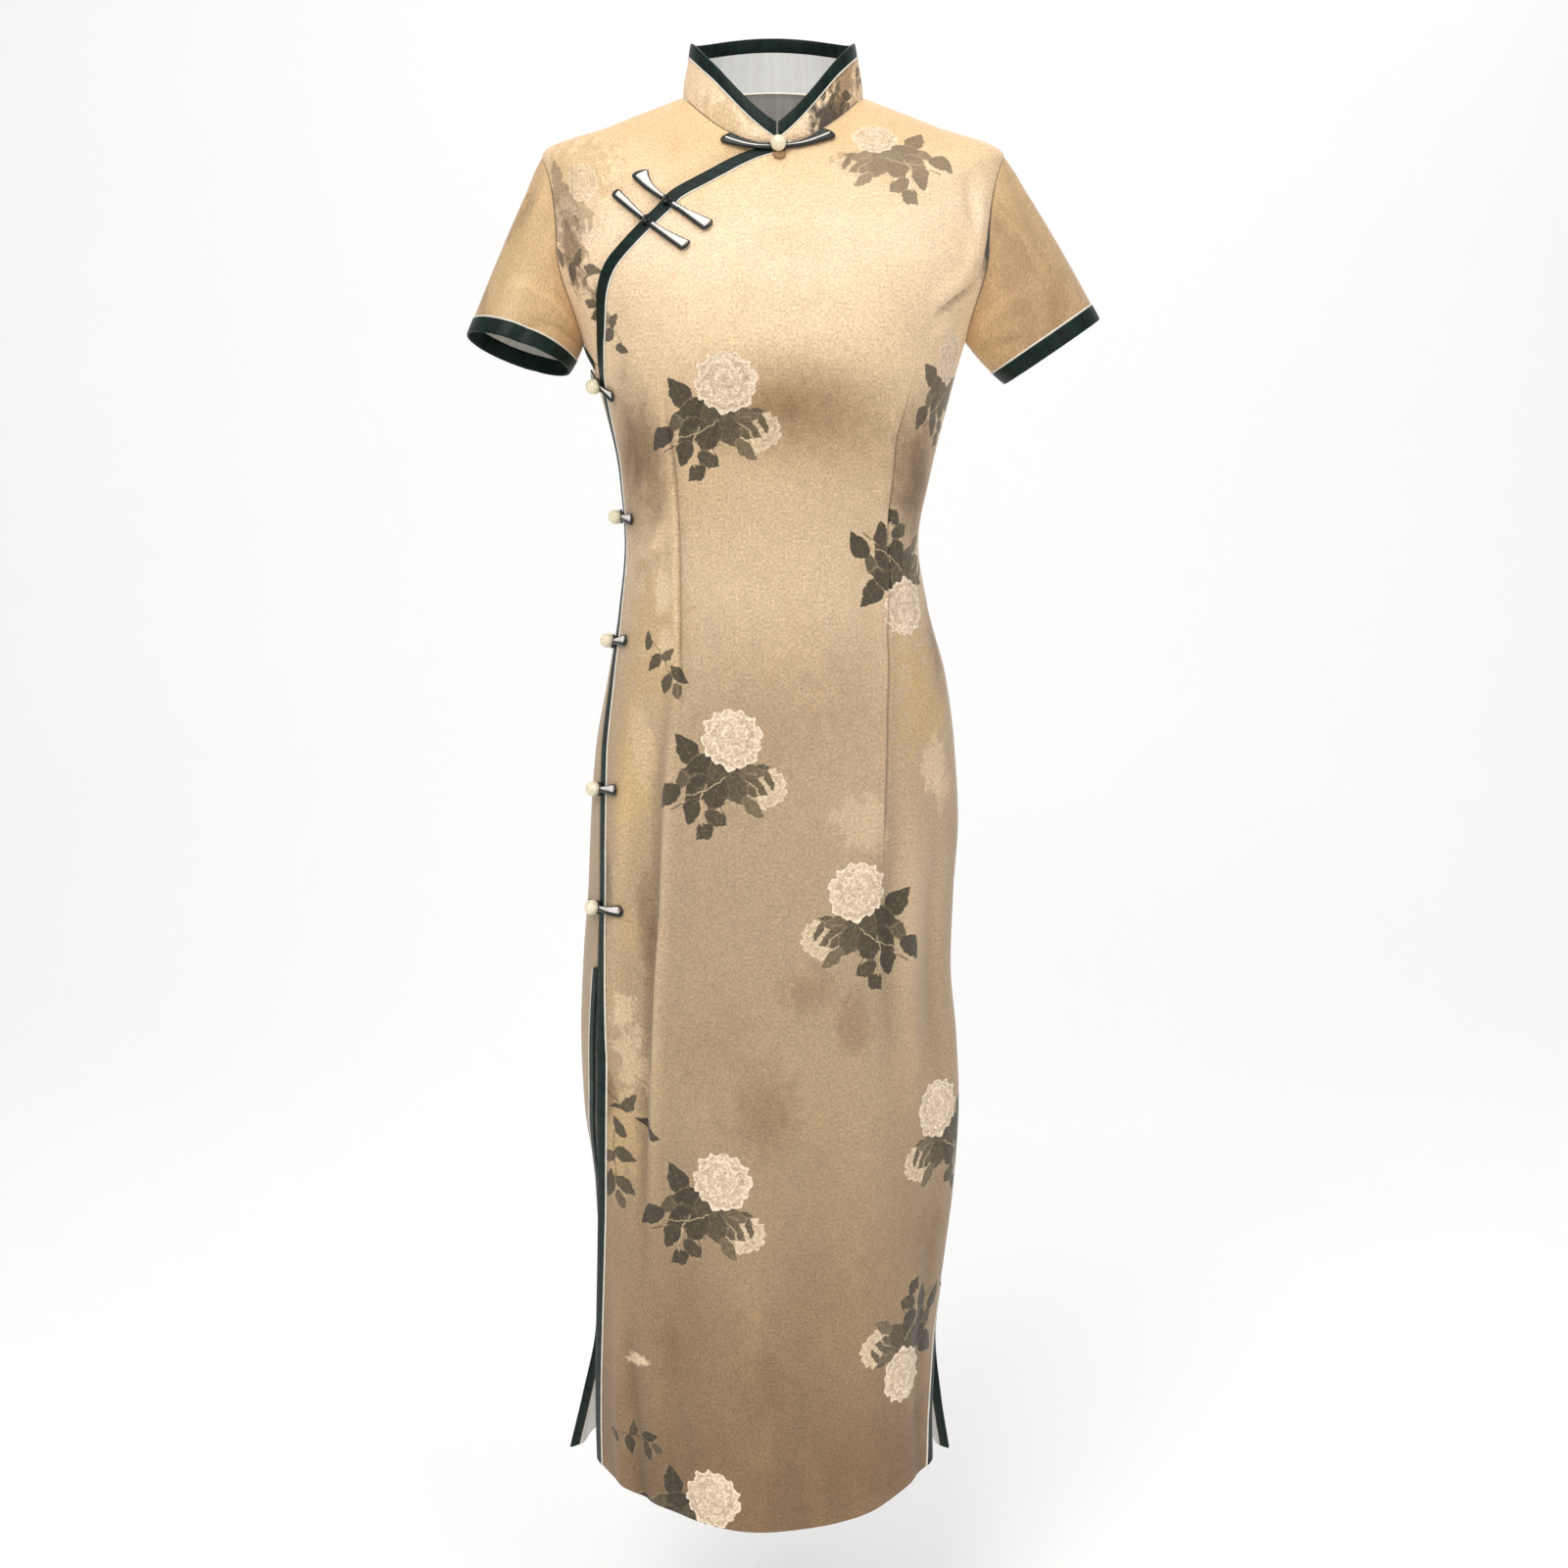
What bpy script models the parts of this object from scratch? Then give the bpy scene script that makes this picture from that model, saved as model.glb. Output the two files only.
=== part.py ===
"""A short-sleeved cheongsam with a diagonal front opening, worn on an absent figure, as its sewn pieces.

Metres, +Z up, the front faces -Y and the wearer's left is +X. The origin lies between the two shoulders.
Every panel, binding and piping is a patch of one surface, the form, which is read at an angle and a level.
The angle runs 0 at the wearer's left side, 90 at the front, 180 at the right side and 270 at the back.
The level is a height up to the underarm, and from there it climbs over the shoulders to the neck seam.
"""

import math

import bpy
import numpy as np

# Cloth, seams and trim
CLOTH = 0.0015
SEAM = 0.0003
BINDING_WALL = 0.0022
BINDING_PROUD = 0.00035
BINDING_WIDTH = 0.011
CUFF_WIDTH = 0.0135
UNDERARM_BINDING = 0.0085
PIPING_RADIUS = 0.0007
PIPING_PROUD = 0.0001
COLLAR_WALL = 0.002
UNDERLAP_DROP = 0.0027
UNDERLAP_WIDTH = 0.030
UNDERLAP_SLOPE = 0.012

# Levels of the form
HEM = -1.128
RIGHT_SLIT_TOP = -0.690
LEFT_SLIT_TOP = -0.985
FLAP_FOOT = -0.194
UNDERARM = -0.170
SHOULDER = -0.046
NECK = 0.045
HEM_DIP = 0.028
BACK_DIP = 0.017
DIP_STARTS = -0.450
# The back cloth beside each slit turns out to face forward near the hem.
TURN_REACH = 0.0093
TURN_ANGLE = 7.0
TURN_STARTS = -0.985
TURN_FULL = -1.070

# Half widths of the front and back pieces on the wearer's right and left, then the depths before and behind.
# Columns: level, front_right, front_left, back_right, back_left, front, back
SKIRT = (
    (HEM, 0.163, 0.147, 0.183, 0.157, 0.130, 0.118),
    (-1.085, 0.165, 0.143, 0.171, 0.149, 0.127, 0.116),
    (-1.030, 0.166, 0.142, 0.158, 0.143, 0.124, 0.115),
    (-0.960, 0.166, 0.149, 0.152, 0.149, 0.121, 0.114),
    (-0.890, 0.167, 0.156, 0.155, 0.156, 0.118, 0.114),
    (-0.820, 0.167, 0.159, 0.164, 0.159, 0.117, 0.115),
    (-0.760, 0.166, 0.156, 0.166, 0.156, 0.116, 0.117),
    (-0.690, 0.163, 0.150, 0.163, 0.150, 0.115, 0.119),
    (-0.630, 0.158, 0.152, 0.158, 0.152, 0.113, 0.121),
    (-0.570, 0.155, 0.156, 0.155, 0.156, 0.110, 0.121),
    (-0.510, 0.150, 0.153, 0.150, 0.153, 0.106, 0.116),
    (-0.450, 0.139, 0.145, 0.139, 0.145, 0.101, 0.106),
    (-0.390, 0.1285, 0.129, 0.1285, 0.129, 0.094, 0.095),
    (-0.335, 0.1230, 0.1205, 0.1230, 0.1205, 0.090, 0.088),
    (-0.280, 0.1270, 0.1300, 0.1270, 0.1300, 0.099, 0.088),
    (-0.225, 0.1390, 0.1430, 0.1390, 0.1430, 0.115, 0.092),
    (UNDERARM, 0.1560, 0.1580, 0.1560, 0.1580, 0.124, 0.097),
)
# Above the underarm a ring bends: its height is given at the sides, at the front and at the back.
# Columns: level, z_side, z_front, z_back, half_width, front, back
YOKE = (
    (-0.110, -0.100, -0.116, -0.108, 0.1850, 0.116, 0.101),
    (SHOULDER, -0.024, -0.072, -0.046, 0.1880, 0.096, 0.093),
    (0.000, 0.000, -0.043, 0.000, 0.1310, 0.078, 0.075),
    (NECK, 0.022, -0.020, 0.034, 0.0725, 0.062, 0.056),
)
# The front piece's bound edge: up the wearer's right side, round under the arm and over to the front centre.
OPENING_COLUMNS = ("level", "angle")
OPENING = (
    (HEM, 160.5),
    (-1.030, 157.5),
    (-0.960, 155.5),
    (-0.870, 152.5),
    (-0.760, 151.0),
    (RIGHT_SLIT_TOP, 151.5),
    (-0.640, 154.0),
    (-0.560, 158.0),
    (-0.495, 163.0),
    (-0.435, 169.0),
    (-0.380, 173.5),
    (-0.317, 175.0),
    (-0.250, 170.5),
    (-0.205, 164.0),
    (-0.175, 154.5),
    (-0.146, 143.5),
    (-0.115, 133.5),
    (-0.078, 123.5),
    (-0.055, 118.5),
    (-0.028, 114.0),
    (-0.002, 110.0),
    (0.022, 104.5),
    (NECK, 93.0),
)
# The edges of the slits, in degrees before the side line.
SLIT_COLUMNS = ("level", "right_back", "left_front", "left_back")
SLITS = (
    (HEM, -3.0, 20.0, -2.0),
    (-1.030, -2.0, 8.0, -1.0),
    (LEFT_SLIT_TOP, 3.0, 0.0, 0.0),
    (-0.890, 14.0, 0.0, 0.0),
    (-0.780, 26.0, 0.0, 0.0),
    (RIGHT_SLIT_TOP, 28.3, 0.0, 0.0),
)
# Soft folds of the worn cloth: a ridge or trough whose middle runs from one angle to another.
# Columns: name, top, bottom, top_angle, bottom_angle, half_width, rise
FOLDS = (
    ("bust_right", -0.060, -0.250, 118.0, 118.0, 26.0, 0.010),
    ("bust_left", -0.060, -0.250, 62.0, 62.0, 26.0, 0.010),
    ("chest_hollow_right", 0.020, -0.110, 141.0, 137.0, 24.0, -0.007),
    ("chest_hollow_left", 0.020, -0.110, 39.0, 43.0, 24.0, -0.007),
    ("back_hollow_right", 0.020, -0.110, 219.0, 223.0, 24.0, -0.007),
    ("back_hollow_left", 0.020, -0.110, 321.0, 317.0, 24.0, -0.007),
    ("tuck_trough", -0.420, -0.860, 128.0, 136.0, 9.0, -0.006),
    ("tuck_ridge", -0.420, -0.900, 143.0, 152.0, 9.0, 0.004),
    ("side_ridge", -0.500, -0.980, 15.0, 18.0, 12.0, 0.004),
    ("side_trough", -0.560, -0.960, 31.0, 34.0, 8.0, -0.003),
    ("back_trough", -0.480, -1.050, 250.0, 246.0, 12.0, -0.005),
    ("back_ridge", -0.520, -1.120, 290.0, 298.0, 12.0, 0.005),
)
# How far the armhole edge lies from the side, in degrees, before and behind the shoulder line.
ARMHOLE_FRONT = 21.0
ARMHOLE_BACK = 20.0
# The sleeve starts this far off the armhole edge: the middle value, less at the shoulder, more under the arm.
SLEEVE_START = 0.0023
SLEEVE_START_SWING = 0.0015
SLEEVE_BOW = 0.002

# Sleeves: the cuff's centre, the way it points, the way to its outer side, and its two radii.
SLEEVES = {
    "right": {
        "side": -1,
        "cuff": (-0.2080, -0.020, -0.1820),
        "axis": (-0.30, -0.22, -0.90),
        "outward": (-1.0, 0.3, 0.26),
        "radii": (0.043, 0.045),
    },
    "left": {
        "side": 1,
        "cuff": (0.2297, -0.005, -0.1797),
        "axis": (0.56, -0.02, -0.82),
        "outward": (1.0, 0.0, 0.7),
        "radii": (0.0455, 0.043),
    },
}

# Collar
COLLAR_HEIGHT = 0.043
COLLAR_FRONT_HEIGHT = 0.0165
COLLAR_LEAN = 0.17
COLLAR_RISE_ANGLE = 52.0
COLLAR_FOOT = 0.0012
COLLAR_GAP_ANGLE = 0.6
FRONT_CENTRE = 87.0

# Button knots: a flared strip on each side of the opening, a knot between them and a ball on the knot.
BALL_RADIUS = 0.0063
KNOT_RADIUS = 0.0048
KNOT_FLATNESS = 0.5
BALL_CLEARANCE = 0.0060
STRIP_WALL = 0.0020
STRIP_LIFT = CLOTH / 2 + PIPING_PROUD + PIPING_RADIUS + 2 * SEAM
STRIP_SETTLE = 0.0008
STRIP_LENGTH = 0.035
STRIP_NARROW = 0.0042
STRIP_WIDE = 0.0090
NECK_STRIP_DROP = 0.0085
NECK_BALL_DROP = 0.0110
# Columns: name, level, length_share, ball
KNOTS = (
    ("chest_upper", -0.052, 1.0, False),
    ("chest_lower", -0.077, 1.0, False),
    ("underarm", -0.206, 0.55, True),
    ("waist", -0.314, 0.65, True),
    ("hip", -0.418, 0.60, True),
    ("thigh_upper", -0.539, 0.60, True),
    ("thigh_lower", -0.637, 0.60, True),
)

COLOURS = {
    "print": (0.60, 0.44, 0.27, 1.0),
    "binding": (0.010, 0.045, 0.032, 1.0),
    "piping": (0.86, 0.84, 0.78, 1.0),
    "ball": (0.88, 0.83, 0.68, 1.0),
}
ROUGHNESS = {"print": 0.62, "binding": 0.42, "piping": 0.5, "ball": 0.25}

ROW_COLUMNS = ("level", "z_side", "z_front", "z_back")
ROW_COLUMNS += ("front_right", "front_left", "back_right", "back_left", "front", "back")


def pick(table, columns, name):
    """One named column of a table."""
    at = columns.index(name)
    return np.array([row[at] for row in table], dtype=float)


def smooth(x, y, at):
    """Cubic through the points (x, y) that never overshoots them; beyond the ends it stays level."""
    at = np.clip(at, x[0], x[-1])
    step = np.diff(x)
    slope = np.diff(y) / step
    product = slope[1:] * slope[:-1]
    total = np.where(product > 0, slope[1:] + slope[:-1], 1.0)
    inner = np.where(product > 0, 2 * product / total, 0.0)
    tangent = np.concatenate([[slope[0]], inner, [slope[-1]]])
    k = np.clip(np.searchsorted(x, at, side="right") - 1, 0, len(x) - 2)
    t = (at - x[k]) / step[k]
    start = (1 + 2 * t) * (1 - t) ** 2 * y[k] + t * (1 - t) ** 2 * step[k] * tangent[k]
    end = t**2 * (3 - 2 * t) * y[k + 1] + t**2 * (t - 1) * step[k] * tangent[k + 1]
    return start + end


def ring_rows():
    """The skirt's and the yoke's rows in one table; a skirt ring is level but for the hem's front dip."""
    rows = []
    for level, fr, fl, br, bl, front, back in SKIRT:
        share = max(0.0, (DIP_STARTS - level) / (DIP_STARTS - HEM))
        rows.append((level, level, level - HEM_DIP * share**2, level, fr, fl, br, bl, front, back))
    for level, side, front_z, back_z, half, front, back in YOKE:
        rows.append((level, side, front_z, back_z, half, half, half, half, front, back))
    return rows


ROWS = ring_rows()
ROW_LEVELS = pick(ROWS, ROW_COLUMNS, "level")


def row(name, level):
    return smooth(ROW_LEVELS, pick(ROWS, ROW_COLUMNS, name), level)


def slit(name, level):
    return smooth(pick(SLITS, SLIT_COLUMNS, "level"), pick(SLITS, SLIT_COLUMNS, name), level)


def folds(angle, level):
    """Height of the folds above the form: each is a bell across its middle line and a half sine along it."""
    rise = np.zeros(np.broadcast(angle, level).shape)
    for _, top, bottom, top_angle, bottom_angle, half_width, height in FOLDS:
        t = np.clip((level - bottom) / (top - bottom), 0.0, 1.0)
        middle = bottom_angle + (top_angle - bottom_angle) * t
        rise = rise + height * np.sin(math.pi * t) * np.exp(-(((angle - middle) / half_width) ** 2))
    return rise


def turned_edge(angle, level):
    """Sideways shift of the back cloth: nothing at a slit's edge, most a few degrees in, then dying away."""
    t = np.clip((TURN_STARTS - level) / (TURN_STARTS - TURN_FULL), 0.0, 1.0)
    right = np.maximum(angle - 180.0 + slit("right_back", level), -2.0) / TURN_ANGLE
    left = np.maximum(360.0 + slit("left_back", level) - angle, -2.0) / TURN_ANGLE
    shift = right * np.exp(1 - right) - left * np.exp(1 - left)
    return TURN_REACH * shift * t * t * (3 - 2 * t)


def form(piece, angle, level):
    """Point of the form: an oval ring whose height eases from the sides to the front and back."""
    angle, level = np.broadcast_arrays(np.asarray(angle, float), np.asarray(level, float))
    turn = np.radians(angle)
    across, ahead = np.cos(turn), np.sin(turn)
    half = np.where(across > 0, row(piece + "_left", level), row(piece + "_right", level))
    depth = np.where(ahead > 0, row("front", level), row("back", level))
    middle = np.where(ahead > 0, row("z_front", level), row("z_back", level))
    side = across**2
    rise = folds(angle, level)
    x = (half + rise) * across
    y = -(depth + rise) * ahead
    z = row("z_side", level) * side + middle * (1 - side)
    if piece == "back":
        x = x + turned_edge(angle, level)
        z = z - BACK_DIP * np.clip((LEFT_SLIT_TOP - level) / (LEFT_SLIT_TOP - HEM), 0.0, 1.0) ** 1.5
    return np.stack([x, y, z], axis=-1)


def unit(vector):
    return vector / np.linalg.norm(vector, axis=-1, keepdims=True)


def along(piece, angle, level):
    """Change of the form's point for one degree and for one metre of level."""
    d_angle, d_level = 0.5, 0.0005
    by_angle = (form(piece, angle + d_angle, level) - form(piece, angle - d_angle, level)) / (2 * d_angle)
    above = np.minimum(level + d_level, NECK)
    below = np.maximum(level - d_level, HEM)
    by_level = form(piece, angle, above) - form(piece, angle, below)
    return by_angle, by_level / (above - below)[..., None]


def normal(piece, angle, level):
    by_angle, by_level = along(piece, angle, level)
    return unit(np.cross(by_level, by_angle))


def off_form(piece, angle, level, height):
    """Points standing off the form by a height along its outward normal."""
    angle, level = np.broadcast_arrays(np.asarray(angle, float), np.asarray(level, float))
    height = np.broadcast_to(height, angle.shape)[..., None]
    return form(piece, angle, level) + normal(piece, angle, level) * height


def add_solid(name, outer, inner, colour, ring=False):
    """Closed solid between two grids of points of one size; ring joins the last column to the first."""
    rows, columns = outer.shape[:2]
    count = rows * columns
    wraps = columns if ring else columns - 1
    number = np.arange(count).reshape(rows, columns)
    faces = []
    for i in range(rows - 1):
        for j in range(wraps):
            a, b = number[i, j], number[i, (j + 1) % columns]
            c, d = number[i + 1, (j + 1) % columns], number[i + 1, j]
            faces.append((a, b, c, d))
            faces.append((d + count, c + count, b + count, a + count))
    rim = [(number[0, j], number[0, (j + 1) % columns]) for j in range(wraps)]
    rim += [(number[-1, (j + 1) % columns], number[-1, j]) for j in range(wraps)]
    if not ring:
        rim += [(number[i, -1], number[i + 1, -1]) for i in range(rows - 1)]
        rim += [(number[i + 1, 0], number[i, 0]) for i in range(rows - 1)]
    faces += [(b, a, a + count, b + count) for a, b in rim]
    points = np.concatenate([outer.reshape(-1, 3), inner.reshape(-1, 3)])
    mesh = bpy.data.meshes.new(name)
    mesh.from_pydata(points.tolist(), [], [tuple(int(v) for v in face) for face in faces])
    centre = outer - inner
    first = np.cross(outer[1, 0] - outer[0, 0], outer[0, 1] - outer[0, 0])
    if np.dot(first, centre[0, 0]) > 0:
        mesh.flip_normals()
    return finish(name, mesh, colour)


def finish(name, mesh, colour):
    mesh.materials.append(material(name, colour))
    thing = bpy.data.objects.new(name, mesh)
    GARMENT.objects.link(thing)
    return thing


def material(name, colour):
    """Cloth is dull; binding is a satin with a low shine and the balls are polished."""
    made = bpy.data.materials.new(name)
    made.use_nodes = True
    shader = made.node_tree.nodes["Principled BSDF"]
    shader.inputs["Base Color"].default_value = COLOURS[colour]
    shader.inputs["Roughness"].default_value = ROUGHNESS[colour]
    shader.inputs["Metallic"].default_value = 0.0
    return made


def spaced(start, end, count):
    return np.linspace(start, end, count + 1)


def rounded(start, end, count):
    """Values crowded towards both ends, as the height of a half turn."""
    return start + (end - start) * (1 - np.cos(np.linspace(0, math.pi, count + 1))) / 2


ARMHOLE_LEVELS = rounded(UNDERARM, SHOULDER, 12)
YOKE_LEVELS = spaced(SHOULDER, NECK, 5)
FOOT_LEVELS = spaced(FLAP_FOOT, UNDERARM, 3)
BODY_LEVELS = spaced(RIGHT_SLIT_TOP, FLAP_FOOT, 13)
LOWER_LEVELS = spaced(LEFT_SLIT_TOP, RIGHT_SLIT_TOP, 6)
HEM_LEVELS = spaced(HEM, LEFT_SLIT_TOP, 4)


def joined(*parts):
    """Level lists end to end, each shared level once."""
    return np.unique(np.round(np.concatenate(parts), 6))


def armhole(level, reach):
    """Angle of the armhole edge from the side: a rounded bow between the underarm and the shoulder."""
    t = np.clip((level - UNDERARM) / (SHOULDER - UNDERARM), 0.0, 1.0)
    return reach * (4 * t * (1 - t)) ** 0.5


def opening_angle(level):
    """Angle of the front piece's bound edge."""
    return smooth(pick(OPENING, OPENING_COLUMNS, "level"), pick(OPENING, OPENING_COLUMNS, "angle"), level)


def left_front_angle(level):
    return np.where(level > UNDERARM, armhole(level, ARMHOLE_FRONT), slit("left_front", level))


def back_right_angle(level):
    """The back's edge on the wearer's right: slit, then along the opening, the underarm and the armhole."""
    rise = np.clip((level - FLAP_FOOT) / (UNDERARM - FLAP_FOOT), 0.0, 1.0)
    foot = opening_angle(np.minimum(level, FLAP_FOOT))
    side = foot + (180.0 - foot) * rise
    below = np.where(level < RIGHT_SLIT_TOP, 180.0 - slit("right_back", level), side)
    return np.where(level > UNDERARM, 180.0 + armhole(level, ARMHOLE_BACK), below)


def right_flap_angle(level):
    return np.where(level > UNDERARM, 180.0 - armhole(level, ARMHOLE_FRONT), back_right_angle(level))


def back_left_angle(level):
    return np.where(level > UNDERARM, 360.0 - armhole(level, ARMHOLE_BACK), 360.0 + slit("left_back", level))


def inset(piece, edge_angle, level, distance):
    """Degrees that lie a distance in from an edge, measured square to the edge."""
    angle = edge_angle(level)
    step = 0.002
    high = np.minimum(level + step, NECK)
    low = np.maximum(level - step, HEM)
    tangent = unit(form(piece, edge_angle(high), high) - form(piece, edge_angle(low), low))
    by_angle, _ = along(piece, angle, level)
    length = np.linalg.norm(by_angle, axis=-1)
    part = np.sum(by_angle * tangent, axis=-1)
    square = np.sqrt(np.maximum(length**2 - part**2, (0.45 * length) ** 2))
    return distance / square


def patch(name, piece, levels, low_angle, high_angle, columns, outer, inner, colour, crowd=0.0):
    """Solid strip of the form between two edges given as angles; crowd draws its columns to both edges."""
    share = np.linspace(0.0, 1.0, columns + 1)
    crowd = np.broadcast_to(crowd, levels.shape)[:, None]
    share = share - crowd * np.sin(2 * math.pi * share) / (2 * math.pi)
    angle = low_angle[:, None] + (high_angle - low_angle)[:, None] * share
    level = np.repeat(levels[:, None], columns + 1, axis=1)
    outer = np.broadcast_to(outer, angle.shape)
    inner = np.broadcast_to(inner, angle.shape)
    return add_solid(
        name, off_form(piece, angle, level, outer), off_form(piece, angle, level, inner), colour
    )


def trimmed_edge(name, piece, levels, edge_angle, inward):
    """A binding along an edge and the piping inside it; returns the angle where the panel's cloth starts."""
    width = BINDING_WIDTH
    steps = [0.0, width, width + SEAM, width + SEAM + 2 * PIPING_RADIUS, trim_allowance(width)]
    lines = [edge_angle(levels) + inward * inset(piece, edge_angle, levels, s) for s in steps]
    proud = BINDING_WALL / 2
    patch(name + "_binding", piece, levels, lines[0], lines[1], 1, proud, -proud, "binding")
    low = CLOTH / 2 + PIPING_PROUD
    patch(name + "_piping", piece, levels, lines[2], lines[3], 1, low + PIPING_RADIUS, -low, "piping")
    return lines[4]


def trim_allowance(width):
    return width + 2 * SEAM + 2 * PIPING_RADIUS


def all_levels():
    return joined(HEM_LEVELS, LOWER_LEVELS, BODY_LEVELS, FOOT_LEVELS, ARMHOLE_LEVELS, YOKE_LEVELS)


def slit_levels(top):
    levels = all_levels()
    return levels[levels < top + 1e-6]


def front_panel():
    """The wearer's left and middle front in one piece, from the hem to the diagonal opening and the neck."""
    levels = all_levels()
    right = trimmed_edge("front_opening", "front", levels, opening_angle, -1)
    trimmed_edge("front_left_slit", "front", slit_levels(LEFT_SLIT_TOP), left_front_angle, 1)
    allowance = np.where(levels < LEFT_SLIT_TOP + 1e-6, trim_allowance(BINDING_WIDTH), SEAM / 2)
    left = left_front_angle(levels) + inset("front", left_front_angle, levels, allowance)
    patch("front_panel", "front", levels, left, right, 18, CLOTH / 2, -CLOTH / 2, "print")


def under_flap():
    """The wearer's right shoulder and chest, running on under the front piece's bound edge."""
    levels = joined(FOOT_LEVELS, ARMHOLE_LEVELS, YOKE_LEVELS)
    outer_edge = right_flap_angle(levels) - inset("front", right_flap_angle, levels, SEAM)
    opening = opening_angle(levels)
    under = opening - inset("front", opening_angle, levels, UNDERLAP_WIDTH)
    per_metre = inset("front", opening_angle, levels, 1.0)
    starts_down = np.minimum(opening + UNDERLAP_SLOPE * per_metre, outer_edge - 0.8)
    is_down = np.minimum(opening + 0.002 * per_metre, outer_edge - 0.4)
    shares = np.linspace(0.0, 1.0, 6)[None, :]
    wide = outer_edge[:, None] + (starts_down - outer_edge)[:, None] * shares
    hidden = is_down[:, None] + (under - is_down)[:, None] * np.linspace(0.0, 1.0, 4)[None, :]
    angle = np.concatenate([wide, hidden], axis=1)
    level = np.repeat(levels[:, None], angle.shape[1], axis=1)
    beyond = (angle - opening[:, None]) / per_metre[:, None] - 0.002
    drop = -UNDERLAP_DROP * np.clip(1 - beyond / (UNDERLAP_SLOPE - 0.002), 0.0, 1.0)
    outer = off_form("front", angle, level, drop + CLOTH / 2)
    inner = off_form("front", angle, level, drop - CLOTH / 2)
    add_solid("under_flap", outer, inner, "print")


def back_panel():
    """The whole back, with the narrow part that comes round to the opening on the wearer's right."""
    levels = all_levels()
    trimmed_edge("back_right_slit", "back", slit_levels(RIGHT_SLIT_TOP), back_right_angle, 1)
    trimmed_edge("back_left_slit", "back", slit_levels(LEFT_SLIT_TOP), back_left_angle, -1)
    full = trim_allowance(BINDING_WIDTH)
    right_in = np.where(levels < RIGHT_SLIT_TOP + 1e-6, full, SEAM)
    left_in = np.where(levels < LEFT_SLIT_TOP + 1e-6, full, SEAM / 2)
    right = back_right_angle(levels) + inset("back", back_right_angle, levels, right_in)
    left = back_left_angle(levels) - inset("back", back_left_angle, levels, left_in)
    crowd = 0.75 * np.clip((RIGHT_SLIT_TOP - levels) / (RIGHT_SLIT_TOP - TURN_STARTS), 0.0, 1.0)
    patch("back_panel", "back", levels, right, left, 18, CLOTH / 2, -CLOTH / 2, "print", crowd)


def sleeve_frame(spec):
    """The cuff's centre and the two ways across it: outward and forward, both square to its axis."""
    axis = unit(np.array(spec["axis"]))
    out = np.array(spec["outward"])
    out = unit(out - np.dot(out, axis) * axis)
    ahead = np.cross(axis, out)
    return np.array(spec["cuff"]), out, ahead * (-1.0 if ahead[1] > 0 else 1.0)


def armhole_ring(side):
    """Armhole edge from the shoulder point down its front, under the arm and up its back."""
    down = ARMHOLE_LEVELS[::-1]
    up = ARMHOLE_LEVELS[1:-1]
    front_angle = armhole(down, ARMHOLE_FRONT)
    back_angle = armhole(up, ARMHOLE_BACK)
    if side > 0:
        front = form("front", front_angle, down)
        back = form("back", 360.0 - back_angle, up)
    else:
        front = form("front", 180.0 - front_angle, down)
        back = form("back", 180.0 + back_angle, up)
    return np.concatenate([front, back])


def sleeve_point(spec, share):
    """Lines from the armhole ring to the cuff's oval, bowed out; share gives how far along each lies."""
    ring = armhole_ring(spec["side"])
    centre, out, ahead = sleeve_frame(spec)
    turn = np.linspace(0.0, 2 * math.pi, len(ring), endpoint=False)[:, None]
    big, small = spec["radii"]
    away = np.cos(turn) * out + np.sin(turn) * ahead
    cuff = centre + np.cos(turn) * big * out + np.sin(turn) * small * ahead
    length = np.linalg.norm(cuff - ring, axis=-1, keepdims=True)
    t = share(length, turn)
    return ring + (cuff - ring) * t + SLEEVE_BOW * np.sin(math.pi * t) * away


def sleeve_band(name, spec, shares, outer, inner, colour):
    """Ring of the sleeve between two or more shares of its length, with a wall from inner to outer."""
    grid = np.array([sleeve_point(spec, share) for share in shares])
    ahead = np.array([sleeve_point(spec, shifted(share, 0.03)) for share in shares])
    behind = np.array([sleeve_point(spec, shifted(share, -0.03)) for share in shares])
    around = np.roll(grid, -1, axis=1) - np.roll(grid, 1, axis=1)
    facing = unit(np.cross(around, ahead - behind))
    away = grid - grid.mean(axis=1, keepdims=True)
    facing = facing * np.sign(np.sum(facing * away))
    return add_solid(name, grid + facing * outer, grid + facing * inner, colour, ring=True)


def shifted(share, step):
    return lambda length, turn: share(length, turn) + step


def sleeve(hand):
    """Short set-in sleeve, its piping and its bound cuff, each a ring of the same tube."""
    spec = SLEEVES[hand]
    allowance = trim_allowance(CUFF_WIDTH)

    def start(length, turn):
        return (SLEEVE_START - SLEEVE_START_SWING * np.cos(turn)) / length

    def before_cuff(distance):
        return lambda length, turn: 1.0 - distance / length

    def between(share):
        end = before_cuff(allowance)
        return lambda length, turn: start(length, turn) * (1 - share) + end(length, turn) * share

    proud = BINDING_WALL / 2
    low = CLOTH / 2 + PIPING_PROUD
    shares = [between(share) for share in np.linspace(0.0, 1.0, 6)]
    sleeve_band("sleeve_" + hand, spec, shares, CLOTH / 2, -CLOTH / 2, "print")
    piping = [before_cuff(CUFF_WIDTH + SEAM + 2 * PIPING_RADIUS), before_cuff(CUFF_WIDTH + SEAM)]
    sleeve_band("cuff_piping_" + hand, spec, piping, low + PIPING_RADIUS, -low, "piping")
    binding = [before_cuff(CUFF_WIDTH), before_cuff(0.0)]
    sleeve_band("cuff_binding_" + hand, spec, binding, proud, -proud, "binding")


def collar_height(from_front):
    """Height of the collar's top edge: low at the front centre and full by the sides."""
    t = np.clip(from_front / COLLAR_RISE_ANGLE, 0.0, 1.0)
    return COLLAR_FRONT_HEIGHT + (COLLAR_HEIGHT - COLLAR_FRONT_HEIGHT) * np.sin(t * math.pi / 2)


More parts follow.
